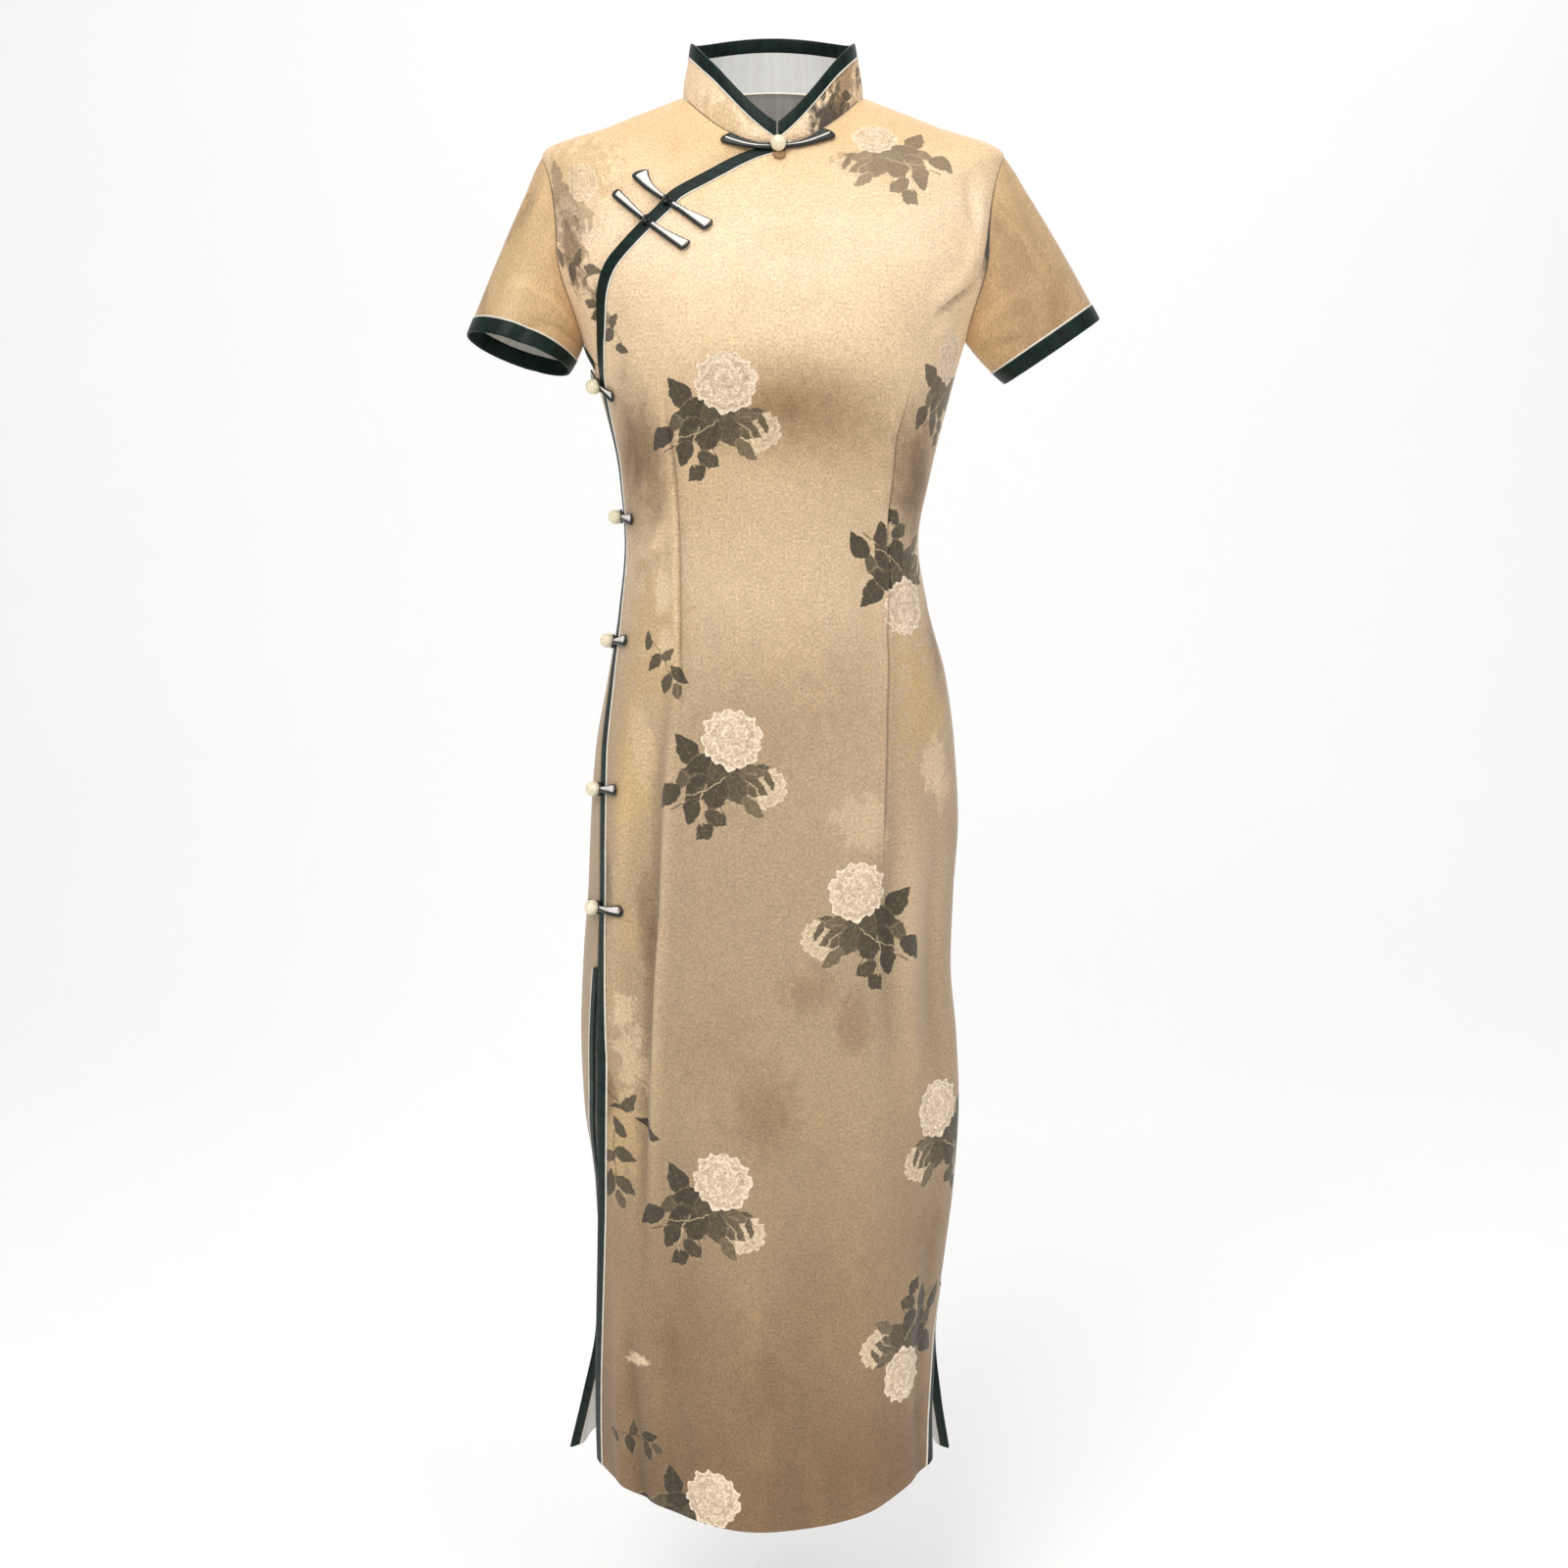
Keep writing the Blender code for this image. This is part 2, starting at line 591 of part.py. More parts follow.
def collar_point(angle, height):
    """Point of the standing collar: straight up from the neck seam, leaning in as it rises."""
    base = form("front", angle, np.full(angle.shape, NECK))
    turn = np.radians(angle)
    inward = np.stack([-np.cos(turn), np.sin(turn), np.zeros(turn.shape)], axis=-1)
    return base + height[..., None] * (np.array([0.0, 0.0, 1.0]) + COLLAR_LEAN * inward)


def collar_normal(angle, height):
    by_angle = collar_point(angle + 0.5, height) - collar_point(angle - 0.5, height)
    by_height = collar_point(angle, height + 0.001) - collar_point(angle, height)
    return unit(np.cross(by_height, by_angle))


def collar_patch(name, angles, low, high, rows, outer, inner, colour):
    share = np.linspace(0.0, 1.0, rows + 1)[:, None]
    height = low[None, :] + (high - low)[None, :] * share
    angle = np.repeat(angles[None, :], rows + 1, axis=0)
    point = collar_point(angle, height)
    facing = collar_normal(angle, height)
    return add_solid(name, point + facing * outer, point + facing * inner, colour)


def collar():
    """Standing collar in one piece round the neck, its piping and the binding of its upper edge."""
    crowded = np.array([0.0, 3.0, 8.0, 14.0, 21.0, 28.0, 36.0, 44.0])
    first = FRONT_CENTRE + COLLAR_GAP_ANGLE + crowded
    last = FRONT_CENTRE + 360.0 - COLLAR_GAP_ANGLE - crowded[::-1]
    angles = np.concatenate([first, spaced(first[-1], last[0], 22)[1:-1], last])
    from_front = np.minimum(angles - FRONT_CENTRE, FRONT_CENTRE + 360.0 - angles)
    top = collar_height(from_front)
    under_binding = top - BINDING_WIDTH * (1 + 0.12 * np.exp(-from_front / 30.0))
    over_panel = under_binding - 2 * PIPING_RADIUS - 2 * SEAM
    wall = COLLAR_WALL / 2
    collar_patch("collar", angles, np.full(angles.shape, COLLAR_FOOT), over_panel, 3, wall, -wall, "print")
    low = wall + PIPING_PROUD
    high = low + PIPING_RADIUS
    collar_patch("collar_piping", angles, over_panel + SEAM, under_binding - SEAM, 1, high, -low, "piping")
    proud = wall + BINDING_PROUD
    collar_patch("collar_binding", angles, under_binding, top, 2, proud, -proud, "binding")


def strip_profile(columns):
    """Half widths of a knot's strip from its narrow inner end to its flared outer end."""
    t = np.linspace(0.0, 1.0, columns)
    return (STRIP_NARROW + (STRIP_WIDE - STRIP_NARROW) * t**1.6) / 2


def knot_strip(name, place, start, length, settle):
    """Flared strip that settles on the cloth past the trim; place(ahead, aside) gives points and normals."""
    ahead = np.repeat((start + np.linspace(0.0, length, 5))[:, None], 3, axis=1)
    aside = strip_profile(5)[:, None] * np.array([-1.0, 0.0, 1.0])
    point, facing = place(ahead, aside)
    low = STRIP_LIFT - settle * np.array([0.0, 1.0, 1.0, 1.0, 1.0])[:, None, None]
    crown = np.array([0.6, 1.0, 0.6])[None, :, None] * STRIP_WALL
    return add_solid(name, point + facing * (low + crown), point + facing * low, "binding")


def add_ball(name, centre, facing, radius, flatness, colour, rings=7, sides=12):
    """Ball as rings round its axis, closed by a pole at each end; flatness scales it along the axis."""
    side = unit(np.cross(facing, np.array([0.0, 0.0, 1.0])))
    other = np.cross(facing, side)
    turn = np.linspace(0, 2 * math.pi, sides, endpoint=False)[:, None]
    ring = np.cos(turn) * side + np.sin(turn) * other
    tilt = np.linspace(0, math.pi, rings + 1)[1:-1]
    points = [centre + facing * radius * flatness]
    for a in tilt:
        points.extend(centre + radius * (np.sin(a) * ring + np.cos(a) * flatness * facing))
    points.append(centre - facing * radius * flatness)
    faces = [(0, 1 + j, 1 + (j + 1) % sides) for j in range(sides)]
    for i in range(len(tilt) - 1):
        a = 1 + i * sides
        for j in range(sides):
            k = (j + 1) % sides
            faces.append((a + j, a + sides + j, a + sides + k, a + k))
    last = 1 + (len(tilt) - 1) * sides
    pole = last + sides
    faces += [(pole, last + (j + 1) % sides, last + j) for j in range(sides)]
    mesh = bpy.data.meshes.new(name)
    mesh.from_pydata([tuple(point) for point in points], [], faces)
    outward = np.cross(np.array(points[1]) - points[0], np.array(points[2]) - points[0])
    if np.dot(outward, facing) < 0:
        mesh.flip_normals()
    return finish(name, mesh, colour)


def body_knot(name, level, length_share, ball):
    """A closure on the opening edge: its strips run square to the edge, one to each side."""
    base = np.array(level)
    step = 0.002
    high = form("front", opening_angle(base + step), base + step)
    low = form("front", opening_angle(base - step), base - step)
    tangent = unit(high - low)
    angle = opening_angle(base) - (0.0 if ball else inset("front", opening_angle, base, BINDING_WIDTH / 2))
    by_angle, by_level = along("front", angle, base)
    across = unit(np.cross(tangent, unit(np.cross(by_level, by_angle))))
    back_to_form = np.linalg.pinv(np.stack([by_angle, by_level], axis=1)).T

    def place(ahead, aside):
        move = (ahead[..., None] * across + aside[..., None] * tangent) @ back_to_form
        return off_both(angle + move[..., 0], base + move[..., 1])

    def place_behind(ahead, aside):
        return place(-ahead, aside)

    start = BALL_CLEARANCE if ball else KNOT_RADIUS + SEAM
    length = STRIP_LENGTH * length_share
    knot_strip("knot_" + name + "_strip_a", place, start, length, 0.0)
    knot_strip("knot_" + name + "_strip_b", place_behind, start, length, STRIP_SETTLE if ball else 0.0)
    point, facing = place(np.zeros(1), np.zeros(1))
    if ball:
        centre = point[0] + facing[0] * (BINDING_WALL / 2 + SEAM + BALL_RADIUS)
        add_ball("knot_" + name + "_ball", centre, facing[0], BALL_RADIUS, 1.0, "ball")
    else:
        centre = point[0] + facing[0] * (BINDING_WALL / 2 + SEAM + KNOT_RADIUS * KNOT_FLATNESS)
        add_ball("knot_" + name + "_knot", centre, facing[0], KNOT_RADIUS, KNOT_FLATNESS, "binding")


def off_both(angle, level):
    """Points of the front form and the normals there."""
    level = np.clip(level, HEM, NECK)
    return form("front", angle, level), normal("front", angle, level)


def neck_knot():
    """The closure at the front centre: a strip along each side of the neck seam and a ball between them."""
    level = np.array(NECK - NECK_STRIP_DROP)
    by_angle, by_level = along("front", np.array(FRONT_CENTRE), level)
    wide, tall = np.linalg.norm(by_angle), np.linalg.norm(by_level)

    def to_side(side):
        return lambda ahead, aside: off_both(FRONT_CENTRE + side * ahead / wide, level + aside / tall)

    knot_strip("knot_neck_strip_right", to_side(1), BALL_CLEARANCE, STRIP_LENGTH, STRIP_SETTLE / 2)
    knot_strip("knot_neck_strip_left", to_side(-1), BALL_CLEARANCE, STRIP_LENGTH, STRIP_SETTLE / 2)
    point, facing = off_both(np.array([FRONT_CENTRE]), np.array([NECK - NECK_BALL_DROP]))
    centre = point[0] + facing[0] * (STRIP_LIFT + BALL_RADIUS)
    add_ball("knot_neck_ball", centre, facing[0], BALL_RADIUS, 1.0, "ball")


def underarm_binding():
    """Bound lower edge of the under flap, lying where the flap meets the back piece under the arm."""
    t = np.linspace(0.30, 0.80, 6)
    line = UNDERARM + (FLAP_FOOT - UNDERARM) * t
    angle = np.repeat(back_right_angle(line)[None, :], 2, axis=0)
    level = line[None, :] + np.array([[-1.0], [1.0]]) * UNDERARM_BINDING / 2
    low = CLOTH / 2 + SEAM
    add_solid(
        "underarm_binding",
        off_form("front", angle, level, low + BINDING_WALL / 2),
        off_form("front", angle, level, low),
        "binding",
    )


for old in list(bpy.data.objects):
    bpy.data.objects.remove(old, do_unlink=True)
GARMENT = bpy.data.collections.new("cheongsam")
bpy.context.scene.collection.children.link(GARMENT)

front_panel()
under_flap()
back_panel()
sleeve("right")
sleeve("left")
collar()
neck_knot()
underarm_binding()
for knot_name, knot_level, share, has_ball in KNOTS:
    body_knot(knot_name, knot_level, share, has_ball)
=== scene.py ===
import math

import bpy
import numpy as np
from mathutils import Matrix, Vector


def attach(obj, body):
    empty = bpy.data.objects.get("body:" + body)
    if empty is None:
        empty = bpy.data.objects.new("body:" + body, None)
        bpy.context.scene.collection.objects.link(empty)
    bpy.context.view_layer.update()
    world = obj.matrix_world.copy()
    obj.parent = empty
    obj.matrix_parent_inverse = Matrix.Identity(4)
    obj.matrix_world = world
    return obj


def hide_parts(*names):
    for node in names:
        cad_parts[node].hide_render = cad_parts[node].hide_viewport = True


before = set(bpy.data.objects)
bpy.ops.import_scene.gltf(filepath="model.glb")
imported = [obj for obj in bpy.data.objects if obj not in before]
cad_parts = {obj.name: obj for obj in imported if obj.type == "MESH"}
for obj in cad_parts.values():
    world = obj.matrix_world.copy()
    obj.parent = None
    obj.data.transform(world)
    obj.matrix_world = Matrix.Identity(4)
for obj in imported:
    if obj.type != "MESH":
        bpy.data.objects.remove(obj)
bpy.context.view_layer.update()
print("frame loaded, nodes:", len(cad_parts))

# Heights run down from the shoulders. Angle 0 is the wearer's left side, 90 the front, 180 the right and 270 the back.
formLevels = {
    "hem": -1.128, "rightSlit": -.69, "leftSlit": -.985, "flapFoot": -.194,
    "waist": -.335, "underarm": -.17, "shoulder": -.046, "neck": .045,
    "hemDip": .028, "backDip": .017, "dipStarts": -.45, "backPower": 1.5,
    # how many degrees the armhole's front and back edges bow in
    "armFront": 21, "armBack": 20,
    # the back cloth beside each slit turns out to face forward near the hem
    "turnReach": .0093, "turnAngle": 7, "turnStarts": -.985, "turnFull": -1.07,
}
# Small steps over which directions are measured: of level, along an edge and of lift, in metres, and of angle; and the
# least share of a degree's length that lies square to an edge.
slopeSteps = {"level": .0005, "edge": .002, "lift": .001, "angle": .5, "least": .45}
trimSizes = {
    "cloth": .0012, "bandWidth": .011, "bandWall": .0021, "cuffWidth": .0135,
    "cordRadius": .0008, "underarmBand": .0085, "bandLift": .0004, "cordLift": .0009, "gap": .0002, "tuck": .0001,
    # points round a section and its power
    "bandSection": (16, .45), "cordSection": (10, 1),
}

# Half widths of the front and back cloth on the wearer's right and left, then the depths before and behind.
skirtTable = {
    "level": [-1.128, -1.085, -1.03, -.96, -.89, -.82, -.76, -.69, -.63,
              -.57, -.51, -.45, -.39, -.335, -.28, -.225, -.17],
    "frontRight": [.163, .165, .166, .166, .167, .167, .166, .163, .158,
                   .155, .15, .139, .1285, .123, .127, .139, .156],
    "frontLeft": [.147, .143, .142, .149, .156, .159, .156, .15, .152,
                  .156, .153, .145, .129, .1205, .13, .143, .158],
    "backRight": [.183, .171, .158, .152, .155, .164, .166, .163, .158,
                  .155, .15, .139, .1285, .123, .127, .139, .156],
    "backLeft": [.157, .149, .143, .149, .156, .159, .156, .15, .152,
                 .156, .153, .145, .129, .1205, .13, .143, .158],
    "front": [.130, .127, .124, .121, .118, .117, .116, .115, .113, .110, .106, .101, .094, .090, .099, .115, .124],
    "back": [.118, .116, .115, .114, .114, .115, .117, .119, .121, .121, .116, .106, .095, .088, .088, .092, .097],
}
# Above the underarm a ring bends over the shoulders: its height at the sides, the front and the back.
yokeTable = {
    "level": [-.11, -.046, 0, .045],
    "zSide": [-.1, -.024, 0, .022],
    "zFront": [-.116, -.072, -.043, -.02],
    "zBack": [-.108, -.046, 0, .034],
    "half": [.1850, .1880, .1310, .0725],
    "front": [.116, .096, .078, .062],
    "back": [.101, .093, .075, .056],
}
# The front's bound edge as it climbs the right side, turns under the arm and crosses to the throat.
openingTable = {
    "level": [-1.128, -1.03, -.960, -.870, -.760, -.690, -.640, -.560, -.495, -.435, -.380, -.317,
              -.250, -.205, -.175, -.146, -.115, -.078, -.055, -.028, -.002, .022, .045],
    "angle": [160.5, 157.5, 155.5, 152.5, 151, 151.5, 154, 158, 163, 169, 173.5, 175,
              170.5, 164, 154.5, 143.5, 133.5, 123.5, 118.5, 114, 110, 104.5, 93],
}
slitTable = {
    "level": [-1.128, -1.03, -.985, -.89, -.78, -.69],
    "rightBack": [-3, -2, 3, 14, 26, 28.3],
    "leftFront": [20, 8, 0, 0, 0, 0],
    "leftBack": [-2, -1, 0, 0, 0, 0],
}
# Broad folds of the worn cloth: top, bottom, top angle, bottom angle, half width in degrees, rise.
broadFolds = [
    (-.06, -.25, 118, 118, 26, .01), (-.06, -.25, 62, 62, 26, .01), (.02, -.11, 141, 137, 24, -.007),
    (.02, -.11, 39, 43, 24, -.007), (.02, -.11, 219, 223, 24, -.007), (.02, -.11, 321, 317, 24, -.007),
    (-.42, -.86, 128, 136, 9, -.006), (-.42, -.9, 143, 152, 9, .004), (-.5, -.98, 15, 18, 12, .004),
    (-.56, -.96, 31, 34, 8, -.003), (-.48, -1.05, 250, 246, 12, -.005), (-.52, -1.12, 290, 298, 12, .005),
]
# Creases, listed one by one: from angle and level, to angle and level, half width and height in metres.
creases = {
    "front": [
        # pulls at the waist, under the right arm
        (153, -.316, 134, -.262, .006, .0026), (149, -.332, 133, -.291, .0045, -.002),
        (147, -.348, 132, -.316, .0055, .0022), (156, -.362, 138, -.342, .005, -.0016),
        (160, -.285, 146, -.232, .006, -.0014),
        # pulls at the waist, left side
        (24, -.345, 42, -.306, .006, .002), (20, -.318, 40, -.286, .005, -.0015), (26, -.378, 44, -.352, .006, .0015),
        # bust: dart from the left armhole and soft drags
        (23, -.13, 42, -.153, .0031, -.0058), (30, -.118, 46, -.146, .009, .003), (14, -.07, 25, -.128, .005, -.004),
        (24, -.06, 33, -.125, .01, .003), (27, -.155, 41, -.171, .005, .0014), (62, -.236, 112, -.243, .013, -.0014),
        (70, -.15, 104, -.146, .014, -.0012),
        # drags from the neck to the shoulders
        (60, .016, 36, -.058, .009, .0013), (72, .018, 47, -.075, .008, -.001), (33, -.05, 30, -.11, .006, -.0016),
        (146, -.04, 150, -.12, .007, .0014),
        # long soft folds of the skirt
        (124, -.45, 127.5, -.9, .005, .0042), (128.5, -.44, 131.5, -.96, .005, -.0056),
        (141, -.5, 146, -.76, .009, .0036), (52, -.54, 50, -.76, .008, -.0034), (43, -.52, 41, -.84, .011, .0034),
        (30, -.56, 27, -.8, .009, -.003), (63, -.7, 57, -1.128, .02, .003), (78, -.78, 81, -1.128, .022, -.0024),
        (96, -.86, 99, -1.128, .02, .0022), (117, -.82, 121, -1.128, .015, -.003),
        (138, -.98, 133, -1.128, .007, -.0034), (143, -.93, 142, -1.128, .008, .0024),
        (27, -.86, 30, -1.11, .01, -.0026), (88, -.43, 96, -.56, .02, -.0014),
    ],
    # waist, seat and skirt
    "back": [
        (236, -.318, 258, -.3, .007, .0022), (240, -.296, 262, -.282, .006, -.0018),
        (281, -.306, 304, -.322, .007, .002), (276, -.286, 300, -.299, .006, -.0016),
        (244, -.344, 297, -.352, .008, -.0014), (196, -.3, 214, -.342, .006, .0018),
        (343, -.298, 326, -.34, .006, .0018), (214, -.06, 226, -.18, .009, .0018),
        (326, -.06, 315, -.18, .009, .0016), (262, -.56, 259, -1.12, .02, .003), (276, -.62, 279, -1.12, .018, -.003),
        (228, -.6, 224, -1.12, .014, .0034), (312, -.64, 318, -1.12, .015, -.003), (331, -.56, 334, -.9, .012, .0026),
        (206, -.52, 200, -.9, .011, -.0024),
    ],
}
# Long vertical darts, sewn in: the line's levels and angles, and where the stitching starts and stops.
darts = {
    "frontRight": {"levels": [-.750, -.674, -.544, -.470, -.400, -.330, -.262, -.202],
                   "angles": [126, 128.5, 124.5, 122, 125, 127.5, 127.5, 125], "low": -.474, "high": -.206},
    "frontLeft": {"levels": [-.630, -.572, -.478, -.416, -.346, -.306, -.278, -.242, -.216, -.192],
                  "angles": [52.5, 54, 51.5, 46.5, 39.5, 41, 42, 44, 43.5, 43], "low": -.590, "high": -.198},
    "backRight": {"levels": [-.450, -.330, -.200], "angles": [237, 239, 236], "low": -.445, "high": -.190},
    "backLeft": {"levels": [-.450, -.330, -.200], "angles": [303, 301, 304], "low": -.445, "high": -.190},
}


# Cubic through the points that never overshoots: each inner slope is the harmonic mean of the slopes beside it.
def smoothCurve(x, y, at):
    x, y = np.asarray(x, float), np.asarray(y, float)
    at = np.clip(at, x[0], x[-1])
    step = np.diff(x)
    slope = np.diff(y) / step
    product = slope[1:] * slope[:-1]
    total = np.where(product > 0, slope[1:] + slope[:-1], 1.0)
    inner = np.where(product > 0, 2 * product / total, 0.0)
    tangent = np.concatenate([[slope[0]], inner, [slope[-1]]])
    k = np.clip(np.searchsorted(x, at, side="right") - 1, 0, len(x) - 2)
    t = (at - x[k]) / step[k]
    start = (1 + 2 * t) * (1 - t) ** 2 * y[k] + t * (1 - t) ** 2 * step[k] * tangent[k]
    end = t**2 * (3 - 2 * t) * y[k + 1] + t**2 * (t - 1) * step[k] * tangent[k + 1]
    return start + end


# A soft line: 1 on it, and falling to each side as e to the minus square of the distance over its width.
def bell(distance, width):
    return np.exp(-((distance / width) ** 2))


# How far a value has gone from low to high, held between 0 and 1.
def shareOf(value, low, high):
    return np.clip((value - low) / (high - low), 0.0, 1.0)


# Starts and ends gently: three squares less two cubes.
def eased(share):
    return share * share * (3 - 2 * share)


def turns(count):
    return np.linspace(0, 2 * math.pi, count, endpoint=False)


# The skirt's rings are level but for the hem's dip at the front, which grows with the square of the way down.
def ringTable():
    level = np.array(skirtTable["level"])
    share = shareOf(level, formLevels["dipStarts"], formLevels["hem"])
    made = {"level": np.concatenate([level, yokeTable["level"]])}
    made["zSide"] = np.concatenate([level, yokeTable["zSide"]])
    made["zFront"] = np.concatenate([level - formLevels["hemDip"] * share**2, yokeTable["zFront"]])
    made["zBack"] = np.concatenate([level, yokeTable["zBack"]])
    for name in ("frontRight", "frontLeft", "backRight", "backLeft"):
        made[name] = np.concatenate([skirtTable[name], yokeTable["half"]])
    for name in ("front", "back"):
        made[name] = np.concatenate([skirtTable[name], yokeTable[name]])
    return made


rings = ringTable()


def ringValue(name, level):
    return smoothCurve(rings["level"], rings[name], level)


# Broad folds: each is a bell across its middle line times a half sine along it.
def broadHeight(angle, level):
    rise = np.zeros(np.broadcast(angle, level).shape)
    for top, bottom, topAngle, bottomAngle, halfWidth, height in broadFolds:
        t = shareOf(level, bottom, top)
        middle = bottomAngle + (topAngle - bottomAngle) * t
        rise = rise + height * np.sin(math.pi * t) * bell(angle - middle, halfWidth)
    return rise


# Sideways shift of the back cloth beside a slit: d times e to the 1 - d, for d turn angles in from the edge.
def turnedEdge(angle, level):
    f = formLevels
    t = shareOf(level, f["turnStarts"], f["turnFull"])
    right = np.maximum(angle - 180.0 + slitAngle("rightBack", level), -2.0) / f["turnAngle"]
    left = np.maximum(360.0 + slitAngle("leftBack", level) - angle, -2.0) / f["turnAngle"]
    return f["turnReach"] * (right * np.exp(1 - right) - left * np.exp(1 - left)) * eased(t)


# Oval ring: x is half width by cosine, y depth by sine, and height eases from the sides to the front by sine squared.
def formPoint(piece, angle, level):
    angle, level = np.broadcast_arrays(np.asarray(angle, float), np.asarray(level, float))
    turn = np.radians(angle)
    across, ahead = np.cos(turn), np.sin(turn)
    half = np.where(across > 0, ringValue(piece + "Left", level), ringValue(piece + "Right", level))
    depth = np.where(ahead > 0, ringValue("front", level), ringValue("back", level))
    middle = np.where(ahead > 0, ringValue("zFront", level), ringValue("zBack", level))
    side = across**2
    rise = broadHeight(angle, level)
    x = (half + rise) * across
    z = ringValue("zSide", level) * side + middle * (1 - side)
    if piece == "back":
        x = x + turnedEdge(angle, level)
        f, t = formLevels, shareOf(level, formLevels["leftSlit"], formLevels["hem"])
        z = z - f["backDip"] * t ** f["backPower"]
    return np.stack([x, -(depth + rise) * ahead, z], axis=-1)


def unit(vector):
    return vector / np.linalg.norm(vector, axis=-1, keepdims=True)


# Change of the point for one degree and for one metre of level, by central differences.
def formSlopes(piece, angle, level):
    beside, beyond = slopeSteps["angle"], slopeSteps["level"]
    byAngle = (formPoint(piece, angle + beside, level) - formPoint(piece, angle - beside, level)) / (2 * beside)
    above = np.minimum(level + beyond, formLevels["neck"])
    below = np.maximum(level - beyond, formLevels["hem"])
    byLevel = formPoint(piece, angle, above) - formPoint(piece, angle, below)
    return byAngle, byLevel / (above - below)[..., None]


def formNormal(piece, angle, level):
    byAngle, byLevel = formSlopes(piece, angle, level)
    return unit(np.cross(byLevel, byAngle))


# A crease's rounding along its line, the level below which it runs out at the hem, and the height and half width at
# which its shade is full.
creaseLook = {"rounding": .7, "runsOut": -1.1, "fullHeight": .004, "fullWidth": .006}


# Each crease is a bell across its line and a rounded half sine along it, measured in metres on the cloth.
def creaseFields(piece, angle, level):
    c, rise = creaseLook, np.zeros(np.broadcast(angle, level).shape)
    shade = np.zeros(rise.shape)
    for angleA, levelA, angleB, levelB, halfWidth, height in creases[piece]:
        middle = (levelA + levelB) / 2
        reach = (ringValue(piece + "Left", middle) + ringValue(piece, middle)) / 2
        perDegree = math.radians(1.0) * reach
        along = np.array([(angleB - angleA) * perDegree, levelB - levelA])
        length = np.linalg.norm(along)
        offX, offY = (angle - angleA) * perDegree, level - levelA
        raw = (offX * along[0] + offY * along[1]) / length**2
        across = (offX * along[1] - offY * along[0]) / length
        t = np.clip(raw, 0.0, 1.0)
        fade = np.sin(math.pi * t) ** c["rounding"]
        if levelB < c["runsOut"]:
            fade = np.where(t > 0.5, 1.0, fade)
        form = fade * bell(across, halfWidth)
        rise = rise + height * form
        # a crease's shade is painted: darker in a trough, lighter on a ridge
        deep, narrow = min(1.0, abs(height) / c["fullHeight"]), min(1.0, c["fullWidth"] / halfWidth)
        shade = shade - np.sign(height) * deep * narrow * form
    return rise, shade


# A point on the creased form, lifted along its outward direction.
def panelPoint(piece, angle, level, lift):
    angle, level = np.broadcast_arrays(np.asarray(angle, float), np.asarray(level, float))
    height = creaseFields(piece, angle, level)[0] + lift
    return formPoint(piece, angle, level) + formNormal(piece, angle, level) * height[..., None]


# Bow of the armhole: the square root of a parabola between the underarm and the shoulder.
def armhole(level, side):
    t = shareOf(level, formLevels["underarm"], formLevels["shoulder"])
    return formLevels[side] * (4 * t * (1 - t)) ** 0.5


def openingAngle(level):
    return smoothCurve(openingTable["level"], openingTable["angle"], level)


def slitAngle(name, level):
    return smoothCurve(slitTable["level"], slitTable[name], level)


def leftFrontAngle(level):
    return np.where(level > formLevels["underarm"], armhole(level, "armFront"), slitAngle("leftFront", level))


def backRightAngle(level):
    foot, top = formLevels["flapFoot"], formLevels["underarm"]
    edge = openingAngle(np.minimum(level, foot))
    side = edge + (180.0 - edge) * shareOf(level, foot, top)
    below = np.where(level < formLevels["rightSlit"], 180.0 - slitAngle("rightBack", level), side)
    return np.where(level > top, 180.0 + armhole(level, "armBack"), below)


def rightFlapAngle(level):
    return np.where(level > formLevels["underarm"], 180.0 - armhole(level, "armFront"), backRightAngle(level))


def backLeftAngle(level):
    slit = slitAngle("leftBack", level)
    return 360.0 + np.where(level > formLevels["underarm"], -armhole(level, "armBack"), slit)


# Degrees that lie a distance in from an edge, measured square to the edge.
def inset(piece, edge, level, distance):
    high = np.minimum(level + slopeSteps["edge"], formLevels["neck"])
    low = np.maximum(level - slopeSteps["edge"], formLevels["hem"])
    tangent = unit(formPoint(piece, edge(high), high) - formPoint(piece, edge(low), low))
    byAngle, _ = formSlopes(piece, edge(level), level)
    length = np.linalg.norm(byAngle, axis=-1)
    part = np.sum(byAngle * tangent, axis=-1)
    square = np.sqrt(np.maximum(length**2 - part**2, (slopeSteps["least"] * length) ** 2))
    return distance / square


def dartAngle(name, level):
    return smoothCurve(darts[name]["levels"], darts[name]["angles"], level)


seamLook = {"width": .0013, "swell": .25, "swellWidth": 3.5}


# A sewn seam: the cloth dips to the stitches in a narrow bell and swells a little beside them.
def seamDip(distance, depth, width=seamLook["width"]):
    swell = seamLook["swell"] * depth * bell(distance, seamLook["swellWidth"] * width)
    return swell - depth * bell(distance, width)


# A dart's dip: depth and width. Its ridge, then its painted dark line, painted shade and painted light: strength,
# distance aside and width. The lengths are those over which the relief and the shade fade at its ends.
dartSizes = {
    "dip": (.0019, .0015), "ridge": (.0018, .007, .006), "reliefFade": .03,
    "line": (.85, 0, .0011), "shade": (.25, -.004, .004), "light": (-.35, .0035, .0022), "shadeFade": .05,
}


# How far a place lies aside of a dart's line, in metres, and whether it is level with the stitches, from 0 to 1.
def besideDart(name, angle, level, perDegree, fade):
    info = darts[name]
    inside = np.clip((level - info["low"]) / fade, 0, 1) * np.clip((info["high"] - level) / fade, 0, 1)
    return (angle - dartAngle(name, level)) * perDegree, inside


def dartDip(name, angle, level, perDegree):
    distance, inside = besideDart(name, angle, level, perDegree, dartSizes["reliefFade"])
    height, aside, width = dartSizes["ridge"]
    return (seamDip(distance, *dartSizes["dip"]) + height * bell(distance - aside, width)) * inside
